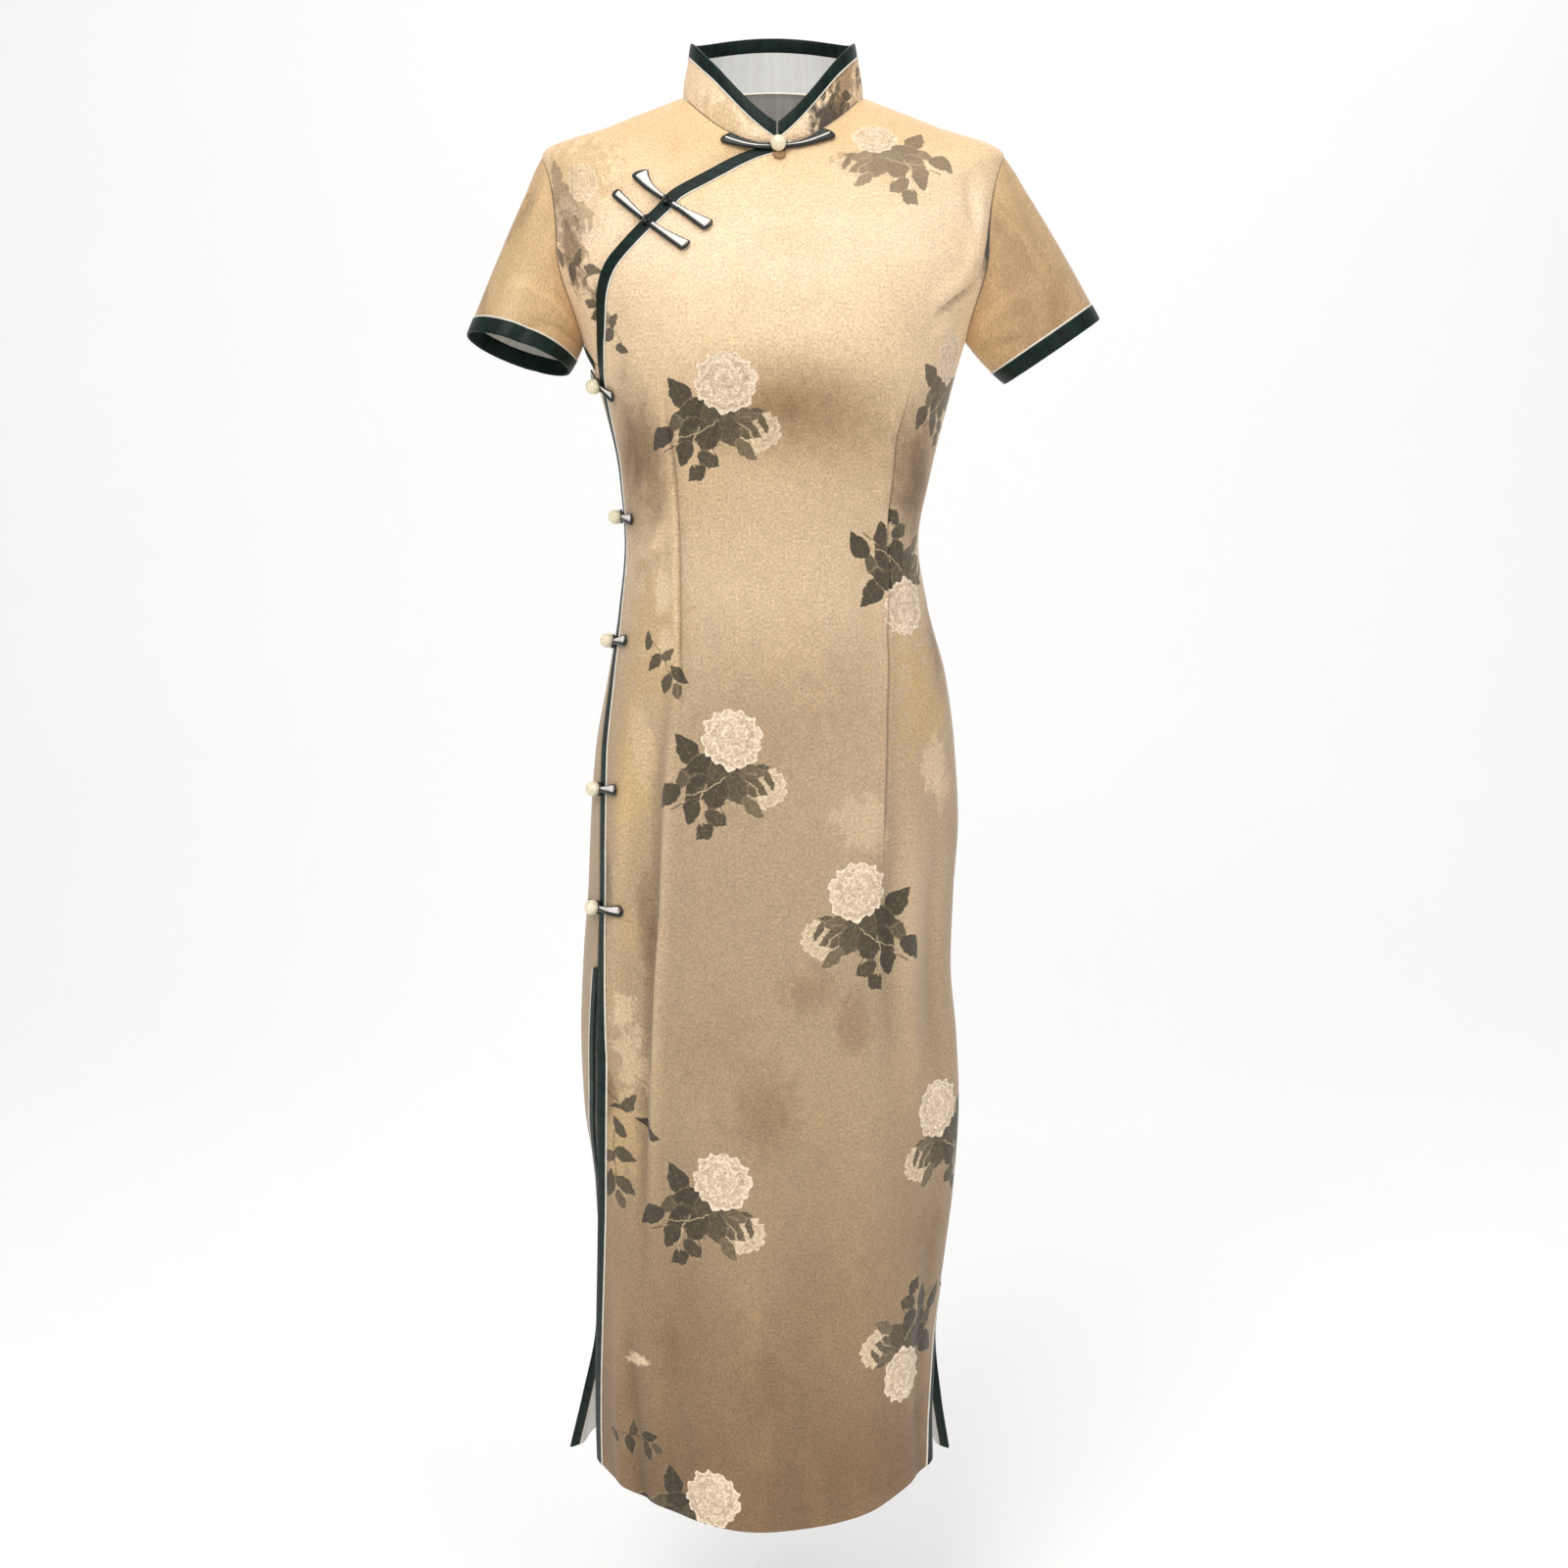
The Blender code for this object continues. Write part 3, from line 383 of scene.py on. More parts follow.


# Painted shade and light by the dart: a dark line on its stitches, painted shade on one side and painted light on the
# other, where the cloth folded under it lifts.
def dartShadow(name, angle, level, perDegree):
    distance, inside = besideDart(name, angle, level, perDegree, dartSizes["shadeFade"])
    return inside * sum(strength * bell(distance - aside, width)
                        for strength, aside, width in (dartSizes[part] for part in ("line", "shade", "light")))


print("form ready")


# Quads of a grid of points, with the places of their corners in a flat grid that is one longer where it closes.
def gridFaces(rows, columns, closedRows, closedColumns):
    i, j = np.meshgrid(np.arange(rows - 1 + closedRows), np.arange(columns - 1 + closedColumns), indexing="ij")
    i, j = i.ravel(), j.ravel()
    n, k = (i + 1) % rows, (j + 1) % columns
    faces = np.stack([i * columns + j, i * columns + k, n * columns + k, n * columns + j], axis=1)
    wide = columns + closedColumns
    corners = np.stack([i * wide + j, i * wide + j + 1, (i + 1) * wide + j + 1, (i + 1) * wide + j], axis=1)
    return i, faces, corners


# Six times the volume inside faces of three or four corners: the sum of their signed tetrahedra.
def signedVolume(points, faces):
    a, b, c, d = (points[faces[:, k]] for k in (0, 1, 2, -1))
    return np.sum(np.cross(a, b) * c) + np.sum(np.cross(a, c) * d)


# Edges that bend by more degrees than this stay sharp.
sharpAngles = {"cloth": 48.0, "tube": 55.0}


# Lays faces, their flat cloth corners and slots into a mesh, right side out where it is closed.
def placeMesh(name, points, faces, uv, slots=None, kind="cloth", closed=True):
    if closed and sum(signedVolume(points, part) for part in faces) < 0:
        faces, uv = [part[:, ::-1] for part in faces], [part[:, ::-1] for part in uv]
    mesh = bpy.data.meshes.new(name)
    mesh.from_pydata(points.tolist(), [], [face for part in faces for face in part.tolist()])
    layer = mesh.uv_layers.new(name="cloth")
    layer.data.foreach_set("uv", np.concatenate([part.ravel() for part in uv]).astype(np.float32))
    if slots is not None:
        mesh.polygons.foreach_set("material_index", slots.astype(np.int32))
    mesh.update()
    thing = bpy.data.objects.new(name, mesh)
    bpy.context.scene.collection.objects.link(thing)
    mesh.shade_smooth()
    mesh.set_sharp_from_angle(angle=math.radians(sharpAngles[kind]))
    return thing


# A cloth wall: the outer rows of points, then the inner ones from the last back to the first, closed round the rim.
def clothShell(name, outer, inner, uvGrid, ring=False, shadow=None):
    rows, columns = outer.shape[:2]
    points = np.concatenate([outer, inner[::-1]]).reshape(-1, 3)
    row, quads, corners = gridFaces(2 * rows, columns, True, ring)
    flat = np.concatenate([uvGrid, uvGrid[::-1], uvGrid[:1]]).reshape(-1, 2)
    faces, uv = [quads], [flat[corners]]
    lined = (row >= rows) & (row < 2 * rows - 1)
    if not ring:
        i = np.arange(rows - 1)
        beyond = 2 * rows - 1 - i
        for column, turn in ((0, 1), (columns - 1, -1)):
            rim = np.stack([i, i + 1, beyond - 1, beyond], axis=1) * columns + column
            faces.append(rim[:, ::turn])
            uv.append(flat[(np.stack([i, i + 1, i + 1, i], axis=1) * columns + column)[:, ::turn]])
        lined = np.concatenate([lined, np.zeros(2 * (rows - 1))])
    thing = placeMesh(name, points, faces, uv, lined)
    if shadow is not None:
        layer = thing.data.attributes.new("shadow", "FLOAT", "POINT")
        layer.data.foreach_set("value", np.concatenate([shadow, shadow[::-1]]).astype(np.float32).ravel())
    return thing


# A closed tube: rows of rings, each ring closed on itself, and each open end closed by a fan to its middle.
def tubeMesh(name, rows, closed=False):
    count, around = rows.shape[:2]
    _, quads, corners = gridFaces(count, around, closed, True)
    middles = rows.mean(axis=1)
    reach = np.cumsum(np.linalg.norm(np.diff(middles, axis=0, append=middles[:1]), axis=1))
    reach = np.concatenate([[0.0], reach])
    flat = np.stack(np.meshgrid(reach, np.arange(around + 1) / around, indexing="ij"), axis=-1).reshape(-1, 2)
    points, faces, uv = rows.reshape(-1, 3), [quads], [flat[corners]]
    if not closed:
        points = np.concatenate([points, middles[:1], middles[-1:]])
        j = np.arange(around)
        k = (j + 1) % around
        for end, first, pair in ((0, 0, [k, j]), (1, (count - 1) * around, [j, k])):
            middle = np.full(around, count * around + end)
            faces.append(np.stack([first + pair[0], first + pair[1], middle], axis=1))
            uv.append(np.broadcast_to([reach[end * (count - 1)], 0.0], (around, 3, 2)))
    return placeMesh(name, points, faces, uv, kind="tube")


# Rounded band section: a superellipse whose corners sharpen as the power falls.
def bandSection(around, power):
    c, s = np.cos(turns(around)), np.sin(turns(around))
    return 0.5 + 0.5 * np.sign(c) * np.abs(c) ** power, np.sign(s) * np.abs(s) ** power


# A band or cord lying along an edge: its section runs between two edge lines and stands off the cloth.
def edgeBand(name, piece, levels, lowLine, highLine, halfHeight, lift, section):
    across, up = bandSection(*section)
    angle = lowLine[:, None] + (highLine - lowLine)[:, None] * across[None, :]
    level = np.broadcast_to(levels[:, None], angle.shape)
    return tubeMesh(name, panelPoint(piece, angle, level, lift + halfHeight * up[None, :]))


def levelSteps(low, high, step):
    return np.linspace(low, high, max(2, int(round((high - low) / step)) + 1))


# Levels crowd towards both ends of the armhole, as the height of a half turn.
def armholeSteps(count):
    low, high = formLevels["underarm"], formLevels["shoulder"]
    return low + (high - low) * (1 - np.cos(np.linspace(0, math.pi, count + 1))) / 2


# Row spacing of the panels in metres, rows in the armhole, the strips that crowd beside a line, and the entries of the
# table of flat cloth places.
meshSizes = {
    "skirt": 0.0054, "flapFoot": 0.003, "yoke": 0.0036, "armhole": 44, "mapAcross": 261, "mapAlong": 320,
    "crowd": (0.0, 0.0007, 0.0015, 0.0026, 0.0042, 0.0066, 0.0100),
}


def allLevels():
    f, m = formLevels, meshSizes
    parts = [levelSteps(f[low], f[high], m[step]) for low, high, step in (
        ("hem", "leftSlit", "skirt"), ("leftSlit", "rightSlit", "skirt"), ("rightSlit", "flapFoot", "skirt"),
        ("flapFoot", "underarm", "flapFoot"), ("shoulder", "neck", "yoke"))]
    return np.unique(np.round(np.concatenate(parts + [armholeSteps(m["armhole"])]), 7))


# Columns run from line to line and crowd beside each, so that a dart or a seam has its own fine strip.
def columnAngles(lines, perDegree, counts):
    crowd = np.array(meshSizes["crowd"])
    blocks = []
    for k in range(len(lines) - 1):
        low, high = lines[k], lines[k + 1]
        width = (high - low) * (perDegree[k] + perDegree[k + 1]) / 2
        scale = np.minimum(1.0, width / (3.0 * crowd[-1]))
        near = (crowd[None, :] * scale[:, None]) / width[:, None]
        middle = np.linspace(0, 1, counts[k] + 2)[1:-1]
        inside = near[:, -1:] + (1 - 2 * near[:, -1:]) * middle[None, :]
        share = np.concatenate([near, inside, 1 - near[:, ::-1]], axis=1)
        if k < len(lines) - 2:
            share = share[:, :-1]
        blocks.append(low[:, None] + (high - low)[:, None] * share)
    return np.concatenate(blocks, axis=1)


def perDegreeAt(piece, angle, level):
    return np.linalg.norm(formSlopes(piece, angle, level)[0], axis=-1)


# Flat cloth coordinates of a form: running length across from its middle and along from the waist, in metres.
def mapTable(piece, low, high, middle):
    angles = np.linspace(low, high, meshSizes["mapAcross"])
    levels = np.linspace(formLevels["hem"], formLevels["neck"], meshSizes["mapAlong"])
    points = formPoint(piece, angles[None, :], levels[:, None])
    across = np.cumsum(np.linalg.norm(np.diff(points, axis=1, prepend=points[:, :1]), axis=-1), axis=1)
    along = np.cumsum(np.linalg.norm(np.diff(points, axis=0, prepend=points[:1]), axis=-1), axis=0)
    across = across - across[:, np.argmin(np.abs(angles - middle))][:, None]
    along = along - along[np.argmin(np.abs(levels - formLevels["waist"]))][None, :]
    return angles, levels, np.stack([-across, along], axis=-1)


mapTables = {"front": mapTable("front", -30.0, 200.0, 90.0), "back": mapTable("back", 140.0, 400.0, 270.0)}


# Reads the table between its four nearest entries, in proportion.
def clothPlace(piece, angle, level):
    angles, levels, table = mapTables[piece]
    angle, level = np.broadcast_arrays(np.asarray(angle, float), np.asarray(level, float))
    i = np.clip((level - levels[0]) / (levels[1] - levels[0]), 0, len(levels) - 1.001)
    j = np.clip((angle - angles[0]) / (angles[1] - angles[0]), 0, len(angles) - 1.001)
    a, b = i.astype(int), j.astype(int)
    s, t = (i - a)[..., None], (j - b)[..., None]
    below = table[a, b] * (1 - t) + table[a, b + 1] * t
    return below * (1 - s) + (table[a + 1, b] * (1 - t) + table[a + 1, b + 1] * t) * s


print("mesh tools ready")


# Screen colour numbers from 0 to 255 turned into the linear values that shaders take.
def tint(red, green, blue):
    values = [c / 255 for c in (red, green, blue)]
    return tuple(c / 12.92 if c <= 0.04045 else ((c + 0.055) / 1.055) ** 2.4 for c in values) + (1.0,)


# A value in a shader. Sums and products of wires lay down Math nodes, or Vector Math nodes for vectors and colours.
class Wire:
    def __init__(self, tree, socket):
        self.tree, self.socket = tree, socket

    def math(self, operation, *others):
        inputs = dict(enumerate((self,) + others))
        return addNode(self.tree, "ShaderNodeMath", inputs, operation=operation)

    def reckon(self, operation, other):
        if self.socket.type == "VALUE":
            return self.math(operation, other)
        return addNode(self.tree, "ShaderNodeVectorMath", {0: self, 1: other}, operation=operation)

    def __add__(self, other):
        return self.reckon("ADD", other)

    def __sub__(self, other):
        return self.reckon("SUBTRACT", other)

    def __rsub__(self, number):
        return addNode(self.tree, "ShaderNodeMath", {0: number, 1: self}, operation="SUBTRACT")

    # a vector times a plain number or a value wire is scaled evenly
    def __mul__(self, other):
        plain = isinstance(other, (int, float)) or (isinstance(other, Wire) and other.socket.type == "VALUE")
        if plain and self.socket.type != "VALUE":
            return addNode(self.tree, "ShaderNodeVectorMath", {0: self, "Scale": other}, operation="SCALE")
        return self.reckon("MULTIPLY", other)

    def __truediv__(self, other):
        return self.math("DIVIDE", other)

    # the last sum or product, held between 0 and 1
    def held(self):
        self.socket.node.use_clamp = True
        return self


def fillInputs(tree, node, inputs):
    for key, value in inputs.items():
        if isinstance(value, Wire):
            tree.links.new(value.socket, node.inputs[key])
        else:
            node.inputs[key].default_value = value


def addNode(tree, kind, inputs, output=0, **settings):
    made = tree.nodes.new(kind)
    for key, value in settings.items():
        setattr(made, key, value)
    fillInputs(tree, made, inputs)
    return Wire(tree, made.outputs[output])


def split(vector):
    first = addNode(vector.tree, "ShaderNodeSeparateXYZ", {0: vector})
    return [Wire(vector.tree, socket) for socket in first.socket.node.outputs]


def length(vector):
    return addNode(vector.tree, "ShaderNodeVectorMath", {0: vector}, "Value", operation="LENGTH")


def turned(vector, angle):
    return addNode(vector.tree, "ShaderNodeVectorRotate", {"Vector": vector, "Angle": angle}, rotation_type="Z_AXIS")


# Goes from a to b as the share goes from 0 to 1, for colours, values or vectors.
def blend(share, a, b, kind="RGBA"):
    first, output = {"RGBA": (6, 2), "FLOAT": (2, 0), "VECTOR": (4, 1)}[kind]
    return addNode(share.tree, "ShaderNodeMix", {0: share, first: a, first + 1: b}, output, data_type=kind)


# Rises smoothly from 0 at low to 1 at high.
def soft(value, low, high):
    inputs = {0: value, 1: low, 2: high, 3: 0.0, 4: 1.0}
    return addNode(value.tree, "ShaderNodeMapRange", inputs, interpolation_type="SMOOTHSTEP")


def noise(vector, scale, detail=3.0, roughness=0.5, distortion=0.0, output=0):
    inputs = {"Vector": vector, "Scale": scale, "Detail": detail, "Roughness": roughness, "Distortion": distortion}
    return addNode(vector.tree, "ShaderNodeTexNoise", inputs, output, noise_dimensions="3D")


# Noise drawn out over the cloth: times across and along, then detail, roughness and distortion.
def stretched(place, across, along, *rest):
    return noise(place * (across, along, 1.0), 1.0, *rest)


def bump(height, distance, strength):
    return addNode(height.tree, "ShaderNodeBump", {"Height": height, "Distance": distance, "Strength": strength})


# A node group whose sockets are given as words of name:kind; closeGroup wires its results to the outputs in order.
def newGroup(name, inputs, outputs):
    tree = bpy.data.node_groups.new(name, "ShaderNodeTree")
    for side, words in (("INPUT", inputs), ("OUTPUT", outputs)):
        for label, kind in (word.split(":") for word in words.split()):
            tree.interface.new_socket(name=label, in_out=side, socket_type="NodeSocket" + kind)
    return tree, [Wire(tree, socket) for socket in tree.nodes.new("NodeGroupInput").outputs if socket.name]


def closeGroup(tree, *results):
    fillInputs(tree, tree.nodes.new("NodeGroupOutput"), dict(enumerate(results)))
    return tree


def placeGroup(tree, group, **inputs):
    made = tree.nodes.new("ShaderNodeGroup")
    made.node_tree = group
    fillInputs(tree, made, inputs)
    return {socket.name: Wire(tree, socket) for socket in made.outputs}


# A shift by cloudy noise, evenly to every side.
def wavered(point, scale, roughness, amount):
    return (noise(point, scale, 3.0, roughness, output=1) - (0.5, 0.5, 0.5)) * amount


# Shapes of leaf, rose and stalk, with lengths in centimetres. Pairs are where a soft edge starts and ends.
leafLook = {
    "bow": .1, "lean": .34, "teeth": 3.4, "tooth": .1, "veins": 2.3, "slant": 2, "sideVeins": .55, "edge": (0, .045),
    "midrib": (.01, .045), "veinEdge": (.02, .13), "rim": (.03, .12), "halo": (-.16, -.03), "haloEnds": .97,
}


# Leaf: half width times one less the square of the way along, widest towards the stalk, and toothed at its edge.
def leafGroup():
    look = leafLook
    tree, (point, centre, turn, size, width) = newGroup(
        "leafShape", "Point:Vector Centre:Vector Turn:Float Length:Float Width:Float",
        "Mask:Float Vein:Float Rim:Float Halo:Float")
    x, y, _ = split(turned(point - centre, turn * -1.0))
    side = (y - x * x * look["bow"]).math("ABSOLUTE")
    along = x / (size * 0.5)
    crown = (1.0 - along * along).math("MAXIMUM", 0.0)
    edge = crown * (1.0 - along * look["lean"]) * (width * 0.5)
    tooth = (x * look["teeth"]).math("PINGPONG", 0.5) * look["tooth"]
    gap = edge - side - tooth * crown
    lines = 1.0 - soft((x * look["veins"] - side * look["slant"]).math("PINGPONG", 0.5), *look["veinEdge"])
    vein = (1.0 - soft(side, *look["midrib"])).math("MAXIMUM", lines * look["sideVeins"])
    halo = soft(gap, *look["halo"]) * along.math("ABSOLUTE").math("LESS_THAN", look["haloEnds"])
    return closeGroup(tree, soft(gap, *look["edge"]), vein, 1.0 - soft(gap, *look["rim"]), halo)


# Layers of a rose head: size, scallops round it, their phase and the shift of its middle.
roseLayers = [
    (1, 13, .2, 0, 0), (.78, 9, 1.1, .1, .08), (.6, 7, .5, -.16, .14), (.42, 5, 1.9, .14, .02), (.26, 4, .9, -.04, .2),
]
# Waver: scale, roughness, amount; noise: scale, detail, roughness; petals: cells, curls in each and their strength.
roseLook = {
    "waver": (1.1, .65, 1.35), "calm": .35, "scallop": .12, "edge": (0, .06), "fade": (.02, .5), "light": (.55, .3),
    "cover": .75, "cells": 1.15, "curls": 15, "curl": .16, "grain": (4.5, 3, .7), "grainShade": 1.1,
}


# Rose head: shifted lobed layers; each petal curls as the sine of its distance from a scattered cell's middle.
def roseGroup():
    look = roseLook
    tree, (spot, radius) = newGroup("roseHead", "Point:Vector Radius:Float", "Mask:Float Shade:Float")
    moved = wavered(spot, *look["waver"])
    point, calm = (spot + moved) * (1, 1, 0), (spot + moved * look["calm"]) * (1, 1, 0)
    mask = shade = None
    for share, scallops, phase, shiftX, shiftY in roseLayers:
        centre = addNode(tree, "ShaderNodeCombineXYZ", {0: radius * shiftX, 1: radius * shiftY})
        local = (point if mask else calm) - centre
        x, y, _ = split(local)
        wave = (y.math("ARCTAN2", x) * (scallops / 2) + phase).math("SINE").math("ABSOLUTE")
        gap = (wave * look["scallop"] + (1.0 - look["scallop"])) * (radius * share) - length(local)
        inside = soft(gap, *look["edge"])
        light = (1.0 - soft(gap, *look["fade"])) * look["light"][0] + look["light"][1]
        shade = blend(inside * look["cover"], shade, light, "FLOAT") if mask else light
        mask = mask or inside
    cells = addNode(tree, "ShaderNodeTexVoronoi", {"Vector": point, "Scale": look["cells"]}, voronoi_dimensions="2D")
    curls = (cells * look["curls"]).math("SINE") * look["curl"]
    grain = (noise(point, *look["grain"]) - 0.5) * look["grainShade"]
    return closeGroup(tree, mask, (shade + (curls + grain)).held())


stalkLook = {"edge": (0, .05), "starts": (0, .02), "ends": (.96, 1)}


# Stalk: a thin line between two points, bowed to one side by a parabola.
def stalkGroup():
    tree, (point, start, turn, size, bow, width) = newGroup(
        "stalkLine", "Point:Vector Start:Vector Turn:Float Length:Float Bow:Float Width:Float", "Mask:Float")
    x, y, _ = split(turned(point - start, turn * -1.0))
    t = x / size
    off = (y - t * (1.0 - t) * (bow * 4.0)).math("ABSOLUTE")
    line = 1.0 - soft(off - width, *stalkLook["edge"])
    return closeGroup(tree, line * soft(t, *stalkLook["starts"]) * (1.0 - soft(t, *stalkLook["ends"])))


# Grain and slub: times across and along, detail and roughness. Then how much each adds to the height and the tone.
weaveLook = {"grain": (480, 450, 2, .75), "slub": (60, 900, 2, .6), "height": (.25, .5), "tone": (.85, .15)}


# Fine cloth surface: crossed threads, slubs and soft waver, as a height for a bump and a small change of tone.
def weaveGroup():
    tree, (place, threads) = newGroup("satinWeave", "Place:Vector Threads:Float", "Height:Float Tone:Float")
    x, y, _ = split(place * threads)
    crossed = x.math("SINE") * (y + x * 0.5).math("SINE")
    grain, slub = stretched(place, *weaveLook["grain"]), stretched(place, *weaveLook["slub"])
    height, tone = weaveLook["height"], weaveLook["tone"]
    return closeGroup(tree, crossed * height[0] + (grain + slub * height[1]), grain * tone[0] + slub * tone[1])


# Colours of the print and its two motifs, in centimetres: the spray from its rose's middle, the twig from its own.
printInks = {
    "leafDark": tint(60, 53, 42), "leafBrown": tint(124, 109, 82), "leafGreen": tint(84, 80, 64),
    "vein": tint(154, 138, 108), "halo": tint(226, 202, 158), "stalk": tint(206, 184, 142),
    "twig": tint(74, 62, 46), "mass": tint(72, 61, 46), "roseLight": tint(255, 236, 208),
    "roseShade": tint(190, 160, 132), "budLight": tint(246, 224, 192), "budShade": tint(186, 156, 120),
}
# Leaves: middle x and y, direction in degrees, length, width to length, tone. Stalks: start, direction, length, bow,
# half width, ink. Centre and reach bound the whole motif.
printMotifs = {
    "twig": {
        "centre": (0, 0), "reach": 4.9,
        "leaves": [
            (-2.1, 2.6, 84, 2.3, .5, .1), (-1.5, .3, 214, 2.6, .52, .05), (.4, .9, 28, 2.2, .52, .35),
            (-.3, -2, 238, 2.6, .56, .15), (1.4, -1.4, 312, 2.8, .48, 0), (.9, -2.9, 268, 1.9, .6, .45),
        ],
        "stalks": [(-2.4, 3.6, 298, 6.4, .45, .03, "twig")],
    },
    "spray": {
        "centre": (-1, -2.9), "reach": 6.9,
        "rose": 2.62, "bud": (2.7, -4), "budRadius": 1.72, "mass": (-.9, -3.3, 2.9, 1.7),
        "leaves": [
            (-3.8, -.8, 122, 3.3, .62, .05), (-4.3, -3.3, 232, 2.2, .56, .4), (-5.7, -4.6, 224, 3.1, .58, 0),
            (2, -2.6, 16, 2.4, .48, .3), (2.9, -3.4, 286, 2, .38, .45), (.9, -2.7, 345, 3.4, .66, .75),
            (-2.4, -2.3, 176, 3.8, .68, .05), (-.7, -2.8, 262, 3.4, .76, .3), (-3, -4, 214, 3.3, .68, .1),
            (1.6, -3.9, 322, 2.8, .6, .55), (.2, -4.2, 292, 3.2, .66, .35), (-1.6, -4.5, 246, 3.2, .7, .15),
            (1.5, -5.6, 312, 2.3, .58, .85), (-3.6, -5.9, 250, 2.5, .64, .05), (-1.5, -6.5, 332, 2.2, .68, .2),
            (-2.6, -7.5, 222, 1.9, .78, .1),
        ],
        "stalks": [
            (-.6, -3, 205, 3.9, .3, .02, "stalk"), (-2.2, -3.6, 262, 3.6, -.3, .03, "stalk"),
            (1, -3.4, 305, 2.4, .25, .02, "stalk"), (-3.2, -4.6, 208, 2.6, .15, .03, "twig"),
            (-1.2, -5.2, 278, 1.9, .15, .03, "twig"),
        ],
    },
}


# How strongly each ink covers what lies beneath it, and the cloudy noise that moves and wears it.
inkLook = {
    "waver": (1.2, .6, .7), "patchy": (2.2, 4, .65), "speck": (7, 3, .7), "bud": .85, "mass": .7, "massEdge": (.8, .98),
    "massRagged": 2.6, "haloCut": .2, "halo": .1, "tones": 1.7, "green": .55, "greenEdge": (.45, .75), "rim": .44,
    "veinDark": .14, "veinPale": .35, "leaf": .97, "stalk": .8, "bloomEdge": (.05, .3), "wear": .12,
    "wearEdge": (.25, .5),
}


# Leaves and stalks, with the flowers where the motif has them, over the ground colour; Strength thins the ink.
def motifGroup(name):
    d, inks, look = printMotifs[name], printInks, inkLook
    tree, (spot, bloom, strength, ground) = newGroup(
        name + "Motif", "Point:Vector Bloom:Float Strength:Float Ground:Color", "Colour:Color Ink:Float")
    point = (spot + wavered(spot, *look["waver"])) * (1, 1, 0)
    patchy, speck = noise(point, *look["patchy"]), noise(point, *look["speck"])
    colour, mask = ground, None
    if "bud" in d:
        bud = placeGroup(tree, roseHead, Point=point - (d["bud"] + (0.0,)), Radius=bloom * d["budRadius"])
        budMask = bud["Mask"] * bloom
        colour = blend(budMask * look["bud"], colour, blend(bud["Shade"], inks["budShade"], inks["budLight"]))
        # a ragged dark patch lies under the thick of the leaves
        x, y, wide, tall = d["mass"]
        away = length((point - (x, y, 0.0)) * (1.0 / wide, 1.0 / tall, 0.0)) + (patchy - 0.5) * look["massRagged"]
        colour = blend((1.0 - soft(away, *look["massEdge"])) * look["mass"], colour, inks["mass"])
    for x, y, direction, size, width, shade in d["leaves"]:
        one = placeGroup(tree, leafShape, Point=point, Centre=(x, y, 0.0), Turn=math.radians(direction), Length=size,
                         Width=size * width)
        top = one["Mask"]
        if mask is None:
            mask, vein, rim, tone, halo = top, one["Vein"], one["Rim"], top * shade, one["Halo"]
            continue
        # a leaf's pale outline cuts a little into the leaves beneath it
        mask = blend(one["Halo"] * look["haloCut"], mask, 0.0, "FLOAT").math("MAXIMUM", top)
        vein, rim = blend(top, vein, one["Vein"], "FLOAT"), blend(top, rim, one["Rim"], "FLOAT")
        tone, halo = blend(top, tone, shade, "FLOAT"), halo.math("MAXIMUM", one["Halo"])
    colour = blend(halo * look["halo"], colour, inks["halo"])
    tone = (tone + (patchy - 0.5) * look["tones"]).held()
    leafColour = blend(tone, inks["leafDark"], inks["leafBrown"])
    leafColour = blend(soft(speck, *look["greenEdge"]) * look["green"], leafColour, inks["leafGreen"])
    lines = (vein * (tone * look["veinPale"] + look["veinDark"])).math("MAXIMUM", rim * look["rim"])
    colour = blend(mask * look["leaf"], colour, blend(lines, leafColour, inks["vein"]))
    for x, y, direction, size, bow, width, ink in d["stalks"]:
        line = placeGroup(tree, stalkLine, Point=point, Start=(x, y, 0.0), Turn=math.radians(direction), Length=size,
                          Bow=bow, Width=width)["Mask"]
        colour = blend(line * look["stalk"], colour, inks[ink])
        mask = mask.math("MAXIMUM", line)
    if "rose" in d:
        head = placeGroup(tree, roseHead, Point=point, Radius=bloom * d["rose"])
        headMask = head["Mask"] * soft(bloom, *look["bloomEdge"])
        colour = blend(headMask, colour, blend(head["Shade"], inks["roseShade"], inks["roseLight"]))
        mask = mask.math("MAXIMUM", headMask).math("MAXIMUM", budMask)
    strength = (strength * (soft(patchy, *look["wearEdge"]) * look["wear"] + (1.0 - look["wear"]))).held()
    return closeGroup(tree, blend(strength, ground, colour), mask * strength)


leafShape, roseHead, stalkLine, satinWeave = leafGroup(), roseGroup(), stalkGroup(), weaveGroup()
motifs = {name: motifGroup(name) for name in printMotifs}
print("print and weave groups built")


def startMaterial(name, roughness, sheen=0.0, coat=0.0, specular=0.5):
    made = bpy.data.materials.new(name)
    made.use_nodes = True
    shader = made.node_tree.nodes["Principled BSDF"]
    fillInputs(made.node_tree, shader, {
        "Roughness": roughness, "Sheen Weight": sheen, "Sheen Roughness": 0.45, "Coat Weight": coat,
        "Coat Roughness": 0.2, "Specular IOR Level": specular})
    return made, made.node_tree, shader


